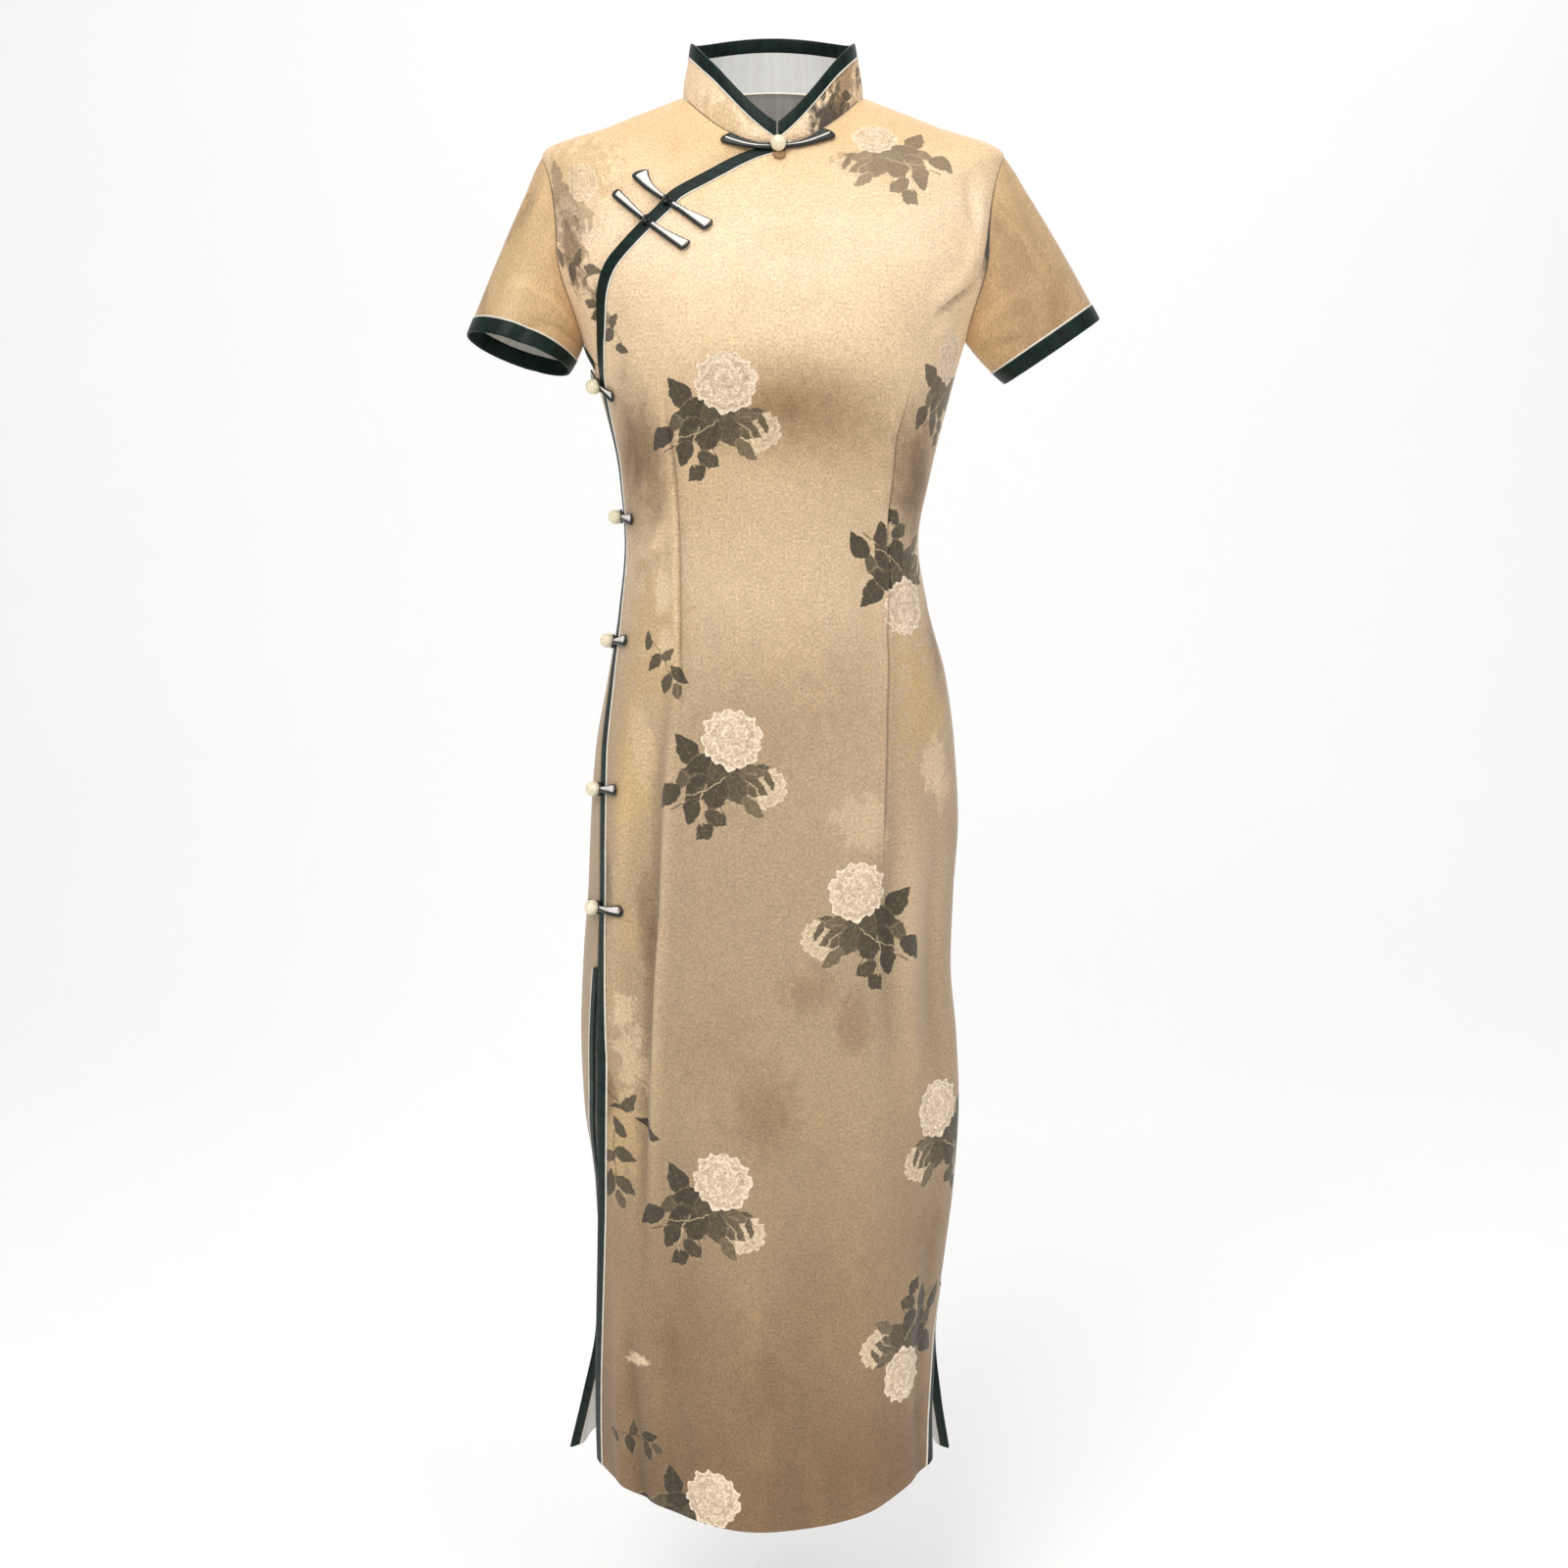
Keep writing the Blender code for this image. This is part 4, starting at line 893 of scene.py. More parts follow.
# Cloud: scale, detail, roughness, distortion. Streak and mottle: times across and along, then the same.
clothLook = {
    "gold": tint(196, 160, 108), "smudge": tint(150, 118, 84), "roughness": .6, "sheen": .18, "specular": .32,
    "threads": 5200, "bump": .25, "bumpDistance": .0002, "grain": (1.52, .24), "shadow": .4, "threadRoughness": .1,
    "inkRoughness": .06, "cloud": (6, 4, .55, .4), "streak": (20, 9, 5, .65, .8), "mottle": (95, 70, 4, .7, .6),
    "drift": .16, "mottleLight": .3, "goldShare": .26, "goldEdge": (.48, .8), "smudgeShare": .22,
    "smudgeEdge": (.55, .82),
    # how far streaks and mottling tear a wash, and its soft edge for a smooth and for a ragged one
    "tears": (2.2, 2), "tearPower": 1.5, "smoothFrom": -.35, "raggedFrom": .7, "washEnds": 1.12,
    # how the ground deepens: metres above the waist, then the colour there
    # the ground is partly the cloth's own tone and partly painted light and shade: paler over the chest, darker under
    # the bust and towards the hem
    "ground": [
        (.36, tint(232, 196, 148)), (.25, tint(243, 214, 178)), (.15, tint(236, 206, 166)), (.07, tint(212, 182, 144)),
        (-.03, tint(212, 185, 152)), (-.14, tint(190, 164, 132)), (-.3, tint(178, 154, 124)),
        (-.45, tint(176, 152, 120)), (-.62, tint(158, 132, 102)), (-.79, tint(132, 106, 78)),
    ],
    "sleeveGround": [(.2, tint(224, 190, 144)), (.05, tint(208, 174, 130)), (-.1, tint(188, 156, 116))],
}


# A colour ramp over a value, whose stops are given as value and colour pairs.
def rampOver(value, stops):
    stops = sorted(stops, key=lambda stop: stop[0])
    low, high = stops[0][0], stops[-1][0]
    ramp = addNode(value.tree, "ShaderNodeValToRGB", {0: ((value - low) / (high - low)).held()})
    elements = ramp.socket.node.color_ramp.elements
    for k, (at, colour) in enumerate(stops):
        place = (at - low) / (high - low)
        one = elements[k] if k < 2 else elements.new(place)
        one.position, one.color = place, colour
    return ramp


# Printed satin: a ground that deepens down the dress, soft washes, then the motifs, each in its own place.
def printedCloth(name, prints, washes, ground):
    look = clothLook
    made, tree, shader = startMaterial(name, look["roughness"], look["sheen"], 0.0, look["specular"])
    place = addNode(tree, "ShaderNodeUVMap", {}, uv_map="cloth")
    cloud = noise(place, *look["cloud"])
    streak, mottle = stretched(place, *look["streak"]), stretched(place, *look["mottle"])
    colour = rampOver(split(place)[1] + (cloud - 0.5) * look["drift"], look[ground])
    colour = blend(soft(streak, *look["goldEdge"]) * look["goldShare"], colour, look["gold"])
    colour = blend(soft(cloud, *look["smudgeEdge"]) * look["smudgeShare"], colour, look["smudge"])
    # each wash lays its colour over the ground: the light ones mottle the print, the dark ones are painted shade
    for x, y, reach, stretch, smudgeAndShade, strength, rough in washes:
        near = (place - (x, y, 0.0)) * (1.0 / reach, 1.0 / (reach * stretch), 0.0)
        ragged = ((streak - 0.5) * look["tears"][0] + (mottle - 0.5) * look["tears"][1]) * rough ** look["tearPower"]
        away = soft(length(near) + ragged, look["raggedFrom"] * rough + look["smoothFrom"], look["washEnds"])
        colour = blend((1.0 - away) * strength, colour, smudgeAndShade)
    # the motifs are drawn in centimetres, and lie far off where none is printed
    ink, perMetre, nowhere = 0.0, 100.0, (40.0, 40.0, 0.0)
    for motif, rows in prints.items():
        spot, facts = nowhere, (0.0, 0.0, 0.0)
        centre, reach = printMotifs[motif]["centre"] + (0.0,), printMotifs[motif]["reach"]
        for x, y, size, flip, turn, bloom, strength in rows:
            local = turned(place - (x, y, 0.0), math.radians(-turn)) * (perMetre * flip / size, perMetre / size, 0.0)
            near = length(local - centre).math("LESS_THAN", reach)
            spot = blend(near, spot, local, "VECTOR")
            facts = blend(near, facts, (bloom, strength, 0.0), "VECTOR")
        bloom, strength, _ = split(facts)
        printed = placeGroup(tree, motifs[motif], Point=spot, Bloom=bloom, Strength=strength, Ground=colour)
        colour, ink = printed["Colour"], printed["Ink"].math("MAXIMUM", ink)
    threads = placeGroup(tree, satinWeave, Place=place, Threads=look["threads"])
    # the shadow attribute holds painted shade and light of seams, darts and creases, multiplied into the colour
    shadow = addNode(tree, "ShaderNodeAttribute", {}, "Fac", attribute_name="shadow")
    light = threads["Tone"] * look["grain"][0] + look["grain"][1]
    light = light * (mottle * look["mottleLight"] + (1.0 - look["mottleLight"] / 2))
    fillInputs(tree, shader, {
        "Base Color": colour * (light * (shadow * -look["shadow"] + 1.0)),
        "Roughness": threads["Tone"] * look["threadRoughness"] + (ink * look["inkRoughness"] + look["roughness"]),
        "Normal": bump(threads["Height"], look["bumpDistance"], look["bump"])})
    return made


# Ripple and grain: times across and along, detail and roughness; then how they mix.
satinLook = {
    "ripple": (170, .9, 3, .55), "grain": (1500, 60, 2, .6), "shares": (.65, .35), "edge": (.3, .7), "rough": .12,
    "bumpGrain": .12, "bumpDistance": .0008,
}


# Plain satin for bindings, cords, bands and lining: long soft puckers across the strip and a fine weave.
def plainSatin(name, colour, shade, roughness, sheen, pucker=0.35, specular=0.5):
    made, tree, shader = startMaterial(name, roughness, sheen, 0.0, specular)
    place = addNode(tree, "ShaderNodeUVMap", {}, uv_map="cloth")
    look = satinLook
    ripple, grain = stretched(place, *look["ripple"]), stretched(place, *look["grain"])
    # the colour runs from the shade tone in the puckers' hollows to the full colour on their crests: painted shade and
    # light of the puckers, with the fine grain of the weave
    light = soft(ripple * look["shares"][0] + grain * look["shares"][1], *look["edge"])
    fillInputs(tree, shader, {
        "Base Color": blend(light, tint(*shade), tint(*colour)),
        "Roughness": grain * look["rough"] + (roughness - look["rough"] / 2),
        "Normal": bump(ripple + grain * look["bumpGrain"], look["bumpDistance"], pucker)})
    return made


pearlLook = {
    "roughness": .24, "coat": .5, "cloud": 260, "edge": (.35, .7), "rough": (.16, .18),
    "shade": tint(236, 222, 186), "light": tint(250, 242, 220),
}


def ballPearl():
    look = pearlLook
    made, tree, shader = startMaterial("ballPearl", look["roughness"], 0.0, look["coat"])
    cloud = noise(addNode(tree, "ShaderNodeTexCoord", {}, "Object"), look["cloud"])
    colour = blend(soft(cloud, *look["edge"]), look["shade"], look["light"])
    fillInputs(tree, shader, {"Base Color": colour, "Roughness": cloud * look["rough"][0] + look["rough"][1]})
    return made


trimLook = {
    "binding": plainSatin("bindingSatin", (13, 42, 34), (4, 14, 12), 0.48, 0.0, 0.35, 0.22),
    "cord": plainSatin("pipingSatin", (238, 234, 222), (214, 206, 190), 0.5, 0.2, 0.2),
    "knotDark": plainSatin("knotSatin", (15, 28, 26), (7, 13, 12), 0.40, 0.05),
    "knotWhite": plainSatin("knotWhiteSatin", (250, 246, 240), (226, 218, 210), 0.42, 0.15, 0.15),
    "lining": plainSatin("liningSatin", (222, 218, 210), (196, 191, 182), 0.5, 0.15, 0.25),
    "liningPale": plainSatin("liningPaleSatin", (252, 251, 248), (240, 238, 234), 0.5, 0.15, 0.25),
    "stub": plainSatin("stubSatin", (188, 152, 106), (140, 106, 70), 0.55, 0.1, 0.3),
    "ball": ballPearl(),
}
print("trim materials built")


# Dresses a piece, attaches it to the root body and hides the CAD node whose place it takes.
def finishPiece(thing, node, *looks):
    for look in looks:
        thing.data.materials.append(look)
    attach(thing, "root")
    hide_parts(node)
    return thing


# Where the print's motifs stand: angle and level, size, mirrored, turn in degrees, bloom, strength; later ones on top.
printDesign = {
    "front": {
        "twig": [
            (145, -.12, .85, 1, 30, 0, .85), (141.5, -.158, .8, -1, 250, 0, .95), (129.5, -.43, .78, 1, 8, 0, .95),
            (137, -.806, 1.1, 1, 20, 0, 1), (143, -.85, 1, -1, 30, 0, .95), (135, -1.078, .74, 1, 60, 0, 1),
        ],
        "spray": [
            (146, -.058, .8, 1, -25, .8, .45), (45, .012, .98, -1, 0, .85, .74), (22.5, -.186, .85, 1, 10, 1, .9),
            (33, -.386, .96, -1, 172, 1, 1), (39, -1.03, .98, 1, 192, 1, 1), (29, -.808, 1, -1, 4, 1, 1),
            (108, -1.106, .98, 1, -24, 1, 1), (104.5, -.846, 1, 1, -10, 1, 1), (63.5, -.612, 1, -1, -6, 1, 1),
            (103, -.488, 1, 1, 2, 1, 1), (104, -.206, 1, 1, 0, 1, 1),
        ],
    },
    "back": {
        "spray": [
            (300, -.08, .75, -1, 140, .5, .6), (318, -.42, .7, -1, -30, .4, .75), (214, -.64, .75, 1, 40, .7, .75),
            (220, -.24, .75, 1, 30, .6, .75), (282, -1.075, .8, -1, 0, 0, .9), (330, -.72, .8, -1, 15, .8, .85),
            (205, -.88, .85, 1, -12, .9, .9), (338, -1.04, .8, -1, 20, .8, .85), (262, -.13, 1, 1, 0, 1, 1),
            (286, -.3, .95, -1, 8, 1, 1), (246, -.47, 1.02, 1, -5, 1, 1), (293, -.6, 1, -1, 5, 1, 1),
            (255, -.76, 1.03, 1, 6, 1, 1), (300, -.905, 1, -1, -8, 1, 1), (238, -1.03, 1, 1, 4, 1, 1),
        ],
    },
}
# Colours of the washes: gold and petal mottle the print; dark, brown and earth ones mostly lay painted shade, and pale
# lightens.
brown, gold, petal = tint(146, 114, 78), tint(200, 169, 122), tint(230, 203, 166)
dark, earth, pale = tint(112, 84, 56), tint(128, 98, 66), tint(214, 187, 154)
# Soft washes of colour: angle, level, reach in metres, stretch along the dress, colour, strength, raggedness.
washDesign = {
    "front": [
        # shade under the bust and down the middle
        (87, -.224, .105, .55, brown, .94, .3), (64, -.244, .07, .9, brown, .3, .3),
        (67, -.446, .06, 1, brown, .22, .5), (96, -.48, .08, 1.2, brown, .26, .5),
        (79, -.69, .03, .9, earth, .36, .8), (92, -.79, .04, 1.3, earth, .44, .6),
        (105, -.74, .06, 1.1, brown, .22, .5), (64, -.72, .02, 1.6, earth, .4, .8),
        (66, -.96, .07, 1.2, brown, .22, .5), (94, -1.01, .034, 1.4, earth, .36, .7),
        (112, -.985, .06, 1.2, brown, .2, .5), (48, -1.085, .06, .8, earth, .46, .6),
        (122, -1, .014, 3.4, earth, .3, .7),
        # the wearer's right side: dark washes are painted shade where the cloth turns away and along its folds, gold
        # and petal ones mottle the print
        (150, -.262, .046, 1.9, dark, .84, .4), (139, -.268, .034, 1.8, dark, .58, .5),
        (140, -.4, .032, 2.2, gold, .6, 1.1), (135, -.372, .01, 1.8, petal, .85, 1.2),
        (131, -.414, .008, 2, petal, .6, 1.2), (140, -.53, .024, 3.4, gold, .85, 1.1),
        (137, -.5, .012, 3, petal, .4, 1.2), (150, -.61, .018, 3, dark, .7, .8), (133.5, -.64, .01, 5, dark, .5, .8),
        (139, -.65, .012, 2.4, gold, .5, 1.2), (141, -.716, .011, 2, petal, .64, 1.3),
        (137, -.77, .018, 2.6, petal, .6, 1.3), (139, -.82, .026, 2, gold, .7, 1.2),
        (145, -.79, .012, 2, dark, .6, 1), (134, -1.01, .012, .5, petal, 1, 1.2),
        (147, -.05, .034, 1.3, gold, .55, 1.2), (149, -.105, .02, 1.8, dark, .75, 1.1),
        (141, -.08, .012, 1.8, petal, .75, 1.3), (143, -.15, .014, 1.6, dark, .7, 1.1),
        # the wearer's left side: dark washes are painted shade where the cloth turns away, the pale one lightens the
        # skirt, gold and petal ones mottle the print
        (24, -.285, .05, 1.9, dark, .9, .4), (28, -.165, .012, 1.8, petal, .8, 1.2),
        (18, -.11, .016, 2.8, dark, .8, .7), (13, -.42, .026, 2.4, dark, .6, .5),
        (34, -.455, .034, 1.9, gold, .9, 1.3), (30, -.515, .024, 1, petal, .62, 1.3),
        (25, -.535, .014, 1.2, petal, .5, 1.3), (62, -.56, .022, 1.3, petal, .42, 1.3),
        (36, -.62, .044, 2.2, pale, .5, .6), (30, -.92, .03, 1.4, earth, .3, .6),
        (26, -1.08, .024, 1, earth, .5, .8),
        # shoulders
        (52, -.01, .026, .8, petal, .7, 1.1), (62, .006, .016, .8, brown, .5, 1.1),
        (84, -.088, .044, .5, gold, .22, .6),
    ],
    "back": [
        (278, -.18, .06, 1.1, brown, .34, .5), (250, -.36, .06, .9, brown, .3, .5),
        (300, -.48, .05, 1, gold, .5, 1.2), (265, -.62, .06, 1.3, earth, .3, .6), (228, -.7, .05, 1.2, gold, .6, 1.2),
        (285, -.8, .05, 1.3, earth, .34, .6), (320, -.86, .03, 1.4, petal, .6, 1.3),
        (262, -.94, .06, 1.2, brown, .3, .5), (210, -.4, .045, 1.3, gold, .6, 1.2),
        (325, -.2, .045, 1.3, gold, .6, 1.2), (235, -.13, .03, 1.1, petal, .55, 1.3),
        (310, -1.08, .05, 1, earth, .4, .8), (196, -.56, .03, 1.9, brown, .3, 1),
        (346, -.56, .03, 1.9, gold, .6, 1.2), (262, -.226, .09, .5, brown, .34, .3),
    ],
}


# Turns the design's angles and levels into places on the flat cloth.
def onCloth(piece, rows):
    return [tuple(clothPlace(piece, row[0], row[1]).tolist()) + row[2:] for row in rows]


# Sleeves and collar have no angles, so their motifs and washes are given by their places on the flat cloth.
clothMaterials = {
    piece: printedCloth(piece + "Print", {motif: onCloth(piece, rows) for motif, rows in printDesign[piece].items()},
                        onCloth(piece, washDesign[piece]), "ground") for piece in ("front", "back")
}
clothMaterials["sleeveRight"] = printedCloth(
    "sleeveRightPrint", {"twig": [(.012, -.03, .7, 1, 120, 0, .7)], "spray": [(.07, .01, .7, -1, 15, .8, .8)]}, [
        (-.04, 0, .05, 1.3, gold, .6, 1.2), (-.06, .01, .016, 2.6, brown, .4, 1.1),
        (-.01, -.01, .012, 2.4, petal, .24, 1.3), (.006, -.03, .01, 2.4, dark, .45, 1.1),
        (-.03, -.055, .04, .4, brown, .4, .7)], "sleeveGround")
# on the wearer's left sleeve the broad darker wash and the brown band across it are painted shade
clothMaterials["sleeveLeft"] = printedCloth(
    "sleeveLeftPrint", {"spray": [(-.06, -.01, .7, 1, 20, .5, .65)]}, [
        (.01, .01, .07, 1.6, tint(158, 126, 94), .72, .5), (.04, .01, .034, 1.6, gold, .26, 1.2),
        (.01, -.034, .044, .5, brown, .5, .6), (.024, .03, .01, 2.6, dark, .14, 1.3)], "sleeveGround")
clothMaterials["collar"] = printedCloth(
    "collarPrint", {"twig": [(-.14, .284, .55, -1, 70, 0, .9), (-.165, .276, .6, 1, 20, 0, .9)]}, [
        (-.176, .266, .026, .8, tint(58, 52, 46), .94, 1.2), (-.156, .28, .02, 1, brown, .8, 1.2),
        (-.15, .264, .006, 1.6, petal, .6, 1.3), (-.12, .286, .024, 1.2, gold, .7, 1.2),
        (.16, .268, .03, .7, gold, .5, 1.2), (-.06, .275, .03, 1, gold, .4, 1)], "ground")
print("printed cloths built")


# Degrees at a distance in from an edge, measured square to it: where the cloth and the trims beside it start.
def edgeLine(piece, edge, levels, inward, distance):
    return edge(levels) + inward * inset(piece, edge, levels, distance)


# The binding of an edge and the piping inside it: kind, start, width, half height, lift, section and look.
def edgeTrims(width, halfHeight, bandLift, cordLift):
    t = trimSizes
    return (("Binding", 0.0, width, halfHeight, bandLift, t["bandSection"], trimLook["binding"]),
            ("Piping", width - t["tuck"], 2 * t["cordRadius"], t["cordRadius"], cordLift, t["cordSection"],
             trimLook["cord"]))


def boundEdge(name, piece, edge, levels, inward, node):
    t, made = trimSizes, []
    for kind, start, wide, halfHeight, lift, section, look in edgeTrims(
            t["bandWidth"], t["bandWall"] / 2, t["bandLift"], t["cordLift"]):
        lines = [edgeLine(piece, edge, levels, inward, distance) for distance in (start, start + wide)]
        low, high = lines[::inward]
        strip = edgeBand(name + kind, piece, levels, low, high, halfHeight, lift, section)
        made.append(finishPiece(strip, node + "_" + kind.lower(), look))
    return made


bodySteps = allLevels()
half = trimSizes["cloth"] / 2
f = formLevels


# Edges: line, way in, level below which it is bound, gap, dip and painted shade line where it is sewn, strength of its
# painted shade line where it is bound, name and node. Darts: name, and the degrees kept free beyond it. Shade lines:
# strength and width.
panelSpecs = {
    "front": {
        "darts": [("frontLeft", 14), ("frontRight", 6)], "counts": (36, 36, 30),
        "edges": [
            (openingAngle, -1, "neck", .0001, (.0004,), (.35, .003), .35, "opening", "front_opening"),
            (leftFrontAngle, 1, "leftSlit", .0001, (.0005, .001), (.3, .004), 0, "frontLeftSlit", "front_left_slit"),
        ],
    },
    "back": {
        "darts": [("backRight", 14), ("backLeft", 6)], "counts": (26, 30, 26),
        "edges": [
            (backRightAngle, 1, "rightSlit", .0003, (.0013,), (.5, .004), 0, "backRightSlit", "back_right_slit"),
            (backLeftAngle, -1, "leftSlit", .0001, (.0011,), (.5, .004), 0, "backLeftSlit", "back_left_slit"),
        ],
    },
    "dartRoom": 6, "boundDip": .0004, "boundWidth": .003, "creaseShade": .75,
    # the hem's turned edge: height of its stitches, the painted shade line along them, the groove along them and the
    # rounded fold
    "turnUp": .0155, "hemShadeLine": (.35, .0009), "groove": (.0006, .0011), "fold": (.0003, .003),
    # the neck seam: how steeply the cloth meets it, its dip and the painted shade line along it
    "neckSlope": 1.2, "neckDip": (.0009, .0016), "neckShadeLine": (.4, .003),
}


def neckDip(level):
    return seamDip((f["neck"] - level) * panelSpecs["neckSlope"], *panelSpecs["neckDip"])


# Rise and painted shade at the hem and neck: a shallow groove above the turned edge, and a dip at the neck seam, each
# with a painted shade line.
def endsOfCloth(level):
    above = level - f["hem"]
    stitches = above - panelSpecs["turnUp"]
    (groove, grooveWidth), (fold, foldHeight), (hem, hemWidth), (neck, neckWidth) = (
        panelSpecs[name] for name in ("groove", "fold", "hemShadeLine", "neckShadeLine"))
    rise = neckDip(level) - groove * bell(stitches, grooveWidth) - fold * np.clip(1 - above / foldHeight, 0, 1)
    return rise, hem * bell(stitches, hemWidth) + neck * bell(f["neck"] - level, neckWidth)


# A panel between two edge lines, with darts as inner lines; rise stands for seams, stitches and darts, and shade is the
# painted shade and light along them and in the creases.
def clothPanel(piece):
    spec, levels = panelSpecs[piece], bodySteps
    full, ends, bounds = trimSizes["bandWidth"] + trimSizes["gap"], {}, []
    for line, inward, boundBelow, gap, *_ in spec["edges"]:
        bounds.append(levels < f[boundBelow] + 1e-6)
        ends[inward] = edgeLine(piece, line, levels, inward, np.where(bounds[-1], full, gap))
    low, high = ends[1], ends[-1]
    lines = [low] + [np.minimum(np.maximum(dartAngle(dart, levels), low + panelSpecs["dartRoom"]), high - room)
                     for dart, room in spec["darts"]] + [high]
    angle = columnAngles(lines, [perDegreeAt(piece, line, levels) for line in lines], spec["counts"])
    level = np.repeat(levels[:, None], angle.shape[1], axis=1)
    scale = perDegreeAt(piece, angle, level)
    rise, shade = endsOfCloth(level)
    for bound, (_, inward, _, _, dip, (sewn, width), boundShadeLine, *_) in zip(bounds, spec["edges"]):
        away, bound = inward * (angle - ends[inward][:, None]) * scale, bound[:, None]
        rise = rise + np.where(bound, seamDip(away, panelSpecs["boundDip"]), seamDip(away, *dip))
        shade = shade + np.where(bound, boundShadeLine * bell(away, panelSpecs["boundWidth"]), sewn * bell(away, width))
    for dart, _ in spec["darts"]:
        rise = rise + dartDip(dart, angle, level, scale)
        shade = shade + dartShadow(dart, angle, level, scale)
    shade = shade + panelSpecs["creaseShade"] * creaseFields(piece, angle, level)[1]
    walls = [panelPoint(piece, angle, level, rise + side) for side in (half, -half)]
    cloth = clothShell(piece + "Cloth", *walls, clothPlace(piece, angle, level), shadow=shade)
    finishPiece(cloth, piece + "_panel", clothMaterials[piece], trimLook["lining"])
    trims = []
    for bound, (line, inward, *_, name, node) in zip(bounds, spec["edges"]):
        trims += boundEdge(name, piece, line, levels[bound], inward, node)
    return cloth, trims


# The right shoulder and chest runs on under the bound edge: it drops below the front over a short slope.
flapSizes = {
    "underlap": .03, "slope": .012, "flat": .002, "drop": .0027, "sideDip": .001,
    # columns of the open part, the slope and the hidden part, and the least degrees kept between them
    "wide": 34, "sloping": 9, "hidden": 8, "room": .8, "flatRoom": .4,
}


def underFlap():
    s = flapSizes
    levels = bodySteps[bodySteps > f["flapFoot"] - 1e-6]
    opening = openingAngle(levels)
    perMetre = inset("front", openingAngle, levels, 1.0)
    edge = edgeLine("front", rightFlapAngle, levels, -1, trimSizes["gap"])
    marks = [edge, np.minimum(opening + s["slope"] * perMetre, edge - s["room"]),
             np.minimum(opening + s["flat"] * perMetre, edge - s["flatRoom"]), opening - s["underlap"] * perMetre]
    shares = [1 - np.cos(np.linspace(0, math.pi / 2, s["wide"])), np.linspace(0, 1, s["sloping"])[1:],
              np.linspace(0, 1, s["hidden"])[1:]]
    angle = np.concatenate([start[:, None] + (end - start)[:, None] * share[None, :]
                            for start, end, share in zip(marks, marks[1:], shares)], axis=1)
    level = np.repeat(levels[:, None], angle.shape[1], axis=1)
    beyond = (angle - opening[:, None]) / perMetre[:, None] - s["flat"]
    t = shareOf(beyond, s["slope"] - s["flat"], 0.0)
    away = (edge[:, None] - angle) * perDegreeAt("front", angle, level)
    rise = seamDip(away, s["sideDip"]) + neckDip(level) - s["drop"] * eased(t)
    walls = [panelPoint("front", angle, level, rise + side) for side in (half, -half)]
    flap = clothShell("flapCloth", *walls, clothPlace("front", angle, level))
    return finishPiece(flap, "under_flap", clothMaterials["front"], trimLook["lining"])


frontCloth, frontTrims = clothPanel("front")
print("front piece made")
backCloth, backTrims = clothPanel("back")
flapCloth = underFlap()
print("back piece and under flap made")

# Sleeves run from the armhole to an oval cuff. The turn starts at the shoulder and goes down the front.
sleeveSizes = {
    "right": {"side": -1, "cuff": (-.208, -.02, -.182), "axis": (-.3, -.22, -.9), "outward": (-1, .3, .26),
              "radii": (.043, .045)},
    "left": {"side": 1, "cuff": (.2297, -.005, -.1797), "axis": (.56, -.02, -.82), "outward": (1, 0, .7),
             "radii": (.0455, .043)},
    "bow": .002, "start": .0008, "startSwing": .0004, "columns": 48, "spacing": (0, .008, .018, .032), "rows": 34,
    # share of the length where even rows start, and the step to the rows before and beyond that give a direction
    "rowsFrom": .05, "probe": .03,
    # metres of cloth for one radian of turn and for the whole length, near enough to shape a fold
    "perTurn": .05, "perLength": .11, "rounding": .8, "foldShade": .5, "fullFold": .0022, "foldStarts": .06,
    # the cap's ease: height, swellings round it, their phase, middle and spread along the sleeve, and its reach round
    "ease": (.0007, 9, .6, .1, .07), "capReach": .4,
    "capDip": (.0004, .001), "capLength": .1, "flatTop": .06, "cuffLift": .0003,
}
# Folds of each sleeve: turn and share of the length where it starts and ends, half width and height.
sleeveFolds = {
    "right": [
        (2.6, .1, 1.1, .75, .006, .0022), (2.9, .3, 1.7, .95, .005, -.0018), (.5, .05, .8, .55, .007, -.0014),
        (3.8, .15, 4.9, .75, .006, .002), (2.2, .75, 1.9, 1, .006, -.0024), (4.4, .5, 4.7, 1, .006, -.0018),
    ],
    "left": [
        (2.6, .1, 1.2, .7, .006, .002), (2.8, .35, 1.8, .95, .0055, -.002), (.4, .05, .9, .6, .007, -.0012),
        (3.9, .15, 5, .7, .006, .0018), (1.3, .55, 1.5, 1, .006, .0012), (4.2, .5, 4.5, 1, .006, -.0016),
    ],
}


def armholeRing(side):
    steps = armholeSteps(sleeveSizes["columns"])
    down, up = steps[::-1], steps[1:-1]
    frontAngle, backAngle = armhole(down, "armFront"), armhole(up, "armBack")
    front = formPoint("front", frontAngle if side > 0 else 180.0 - frontAngle, down)
    back = formPoint("back", 360.0 - backAngle if side > 0 else 180.0 + backAngle, up)
    return np.concatenate([front, back])


# Straight lines run from the armhole ring to the cuff's oval and bow out by a half sine; share is how far along each.
def sleevePoint(hand, share):
    spec = sleeveSizes[hand]
    ring = armholeRing(spec["side"])
    axis = unit(np.array(spec["axis"], float))
    out = np.array(spec["outward"], float)
    out = unit(out - np.dot(out, axis) * axis)
    ahead = np.cross(axis, out)
    ahead = ahead * (-1.0 if ahead[1] > 0 else 1.0)
    turn = turns(len(ring))[:, None]
    away = np.cos(turn) * out + np.sin(turn) * ahead
    cuff = np.array(spec["cuff"]) + np.cos(turn) * spec["radii"][0] * out + np.sin(turn) * spec["radii"][1] * ahead
    t = share(np.linalg.norm(cuff - ring, axis=-1, keepdims=True), turn)
    return ring + (cuff - ring) * t + sleeveSizes["bow"] * np.sin(math.pi * t) * away


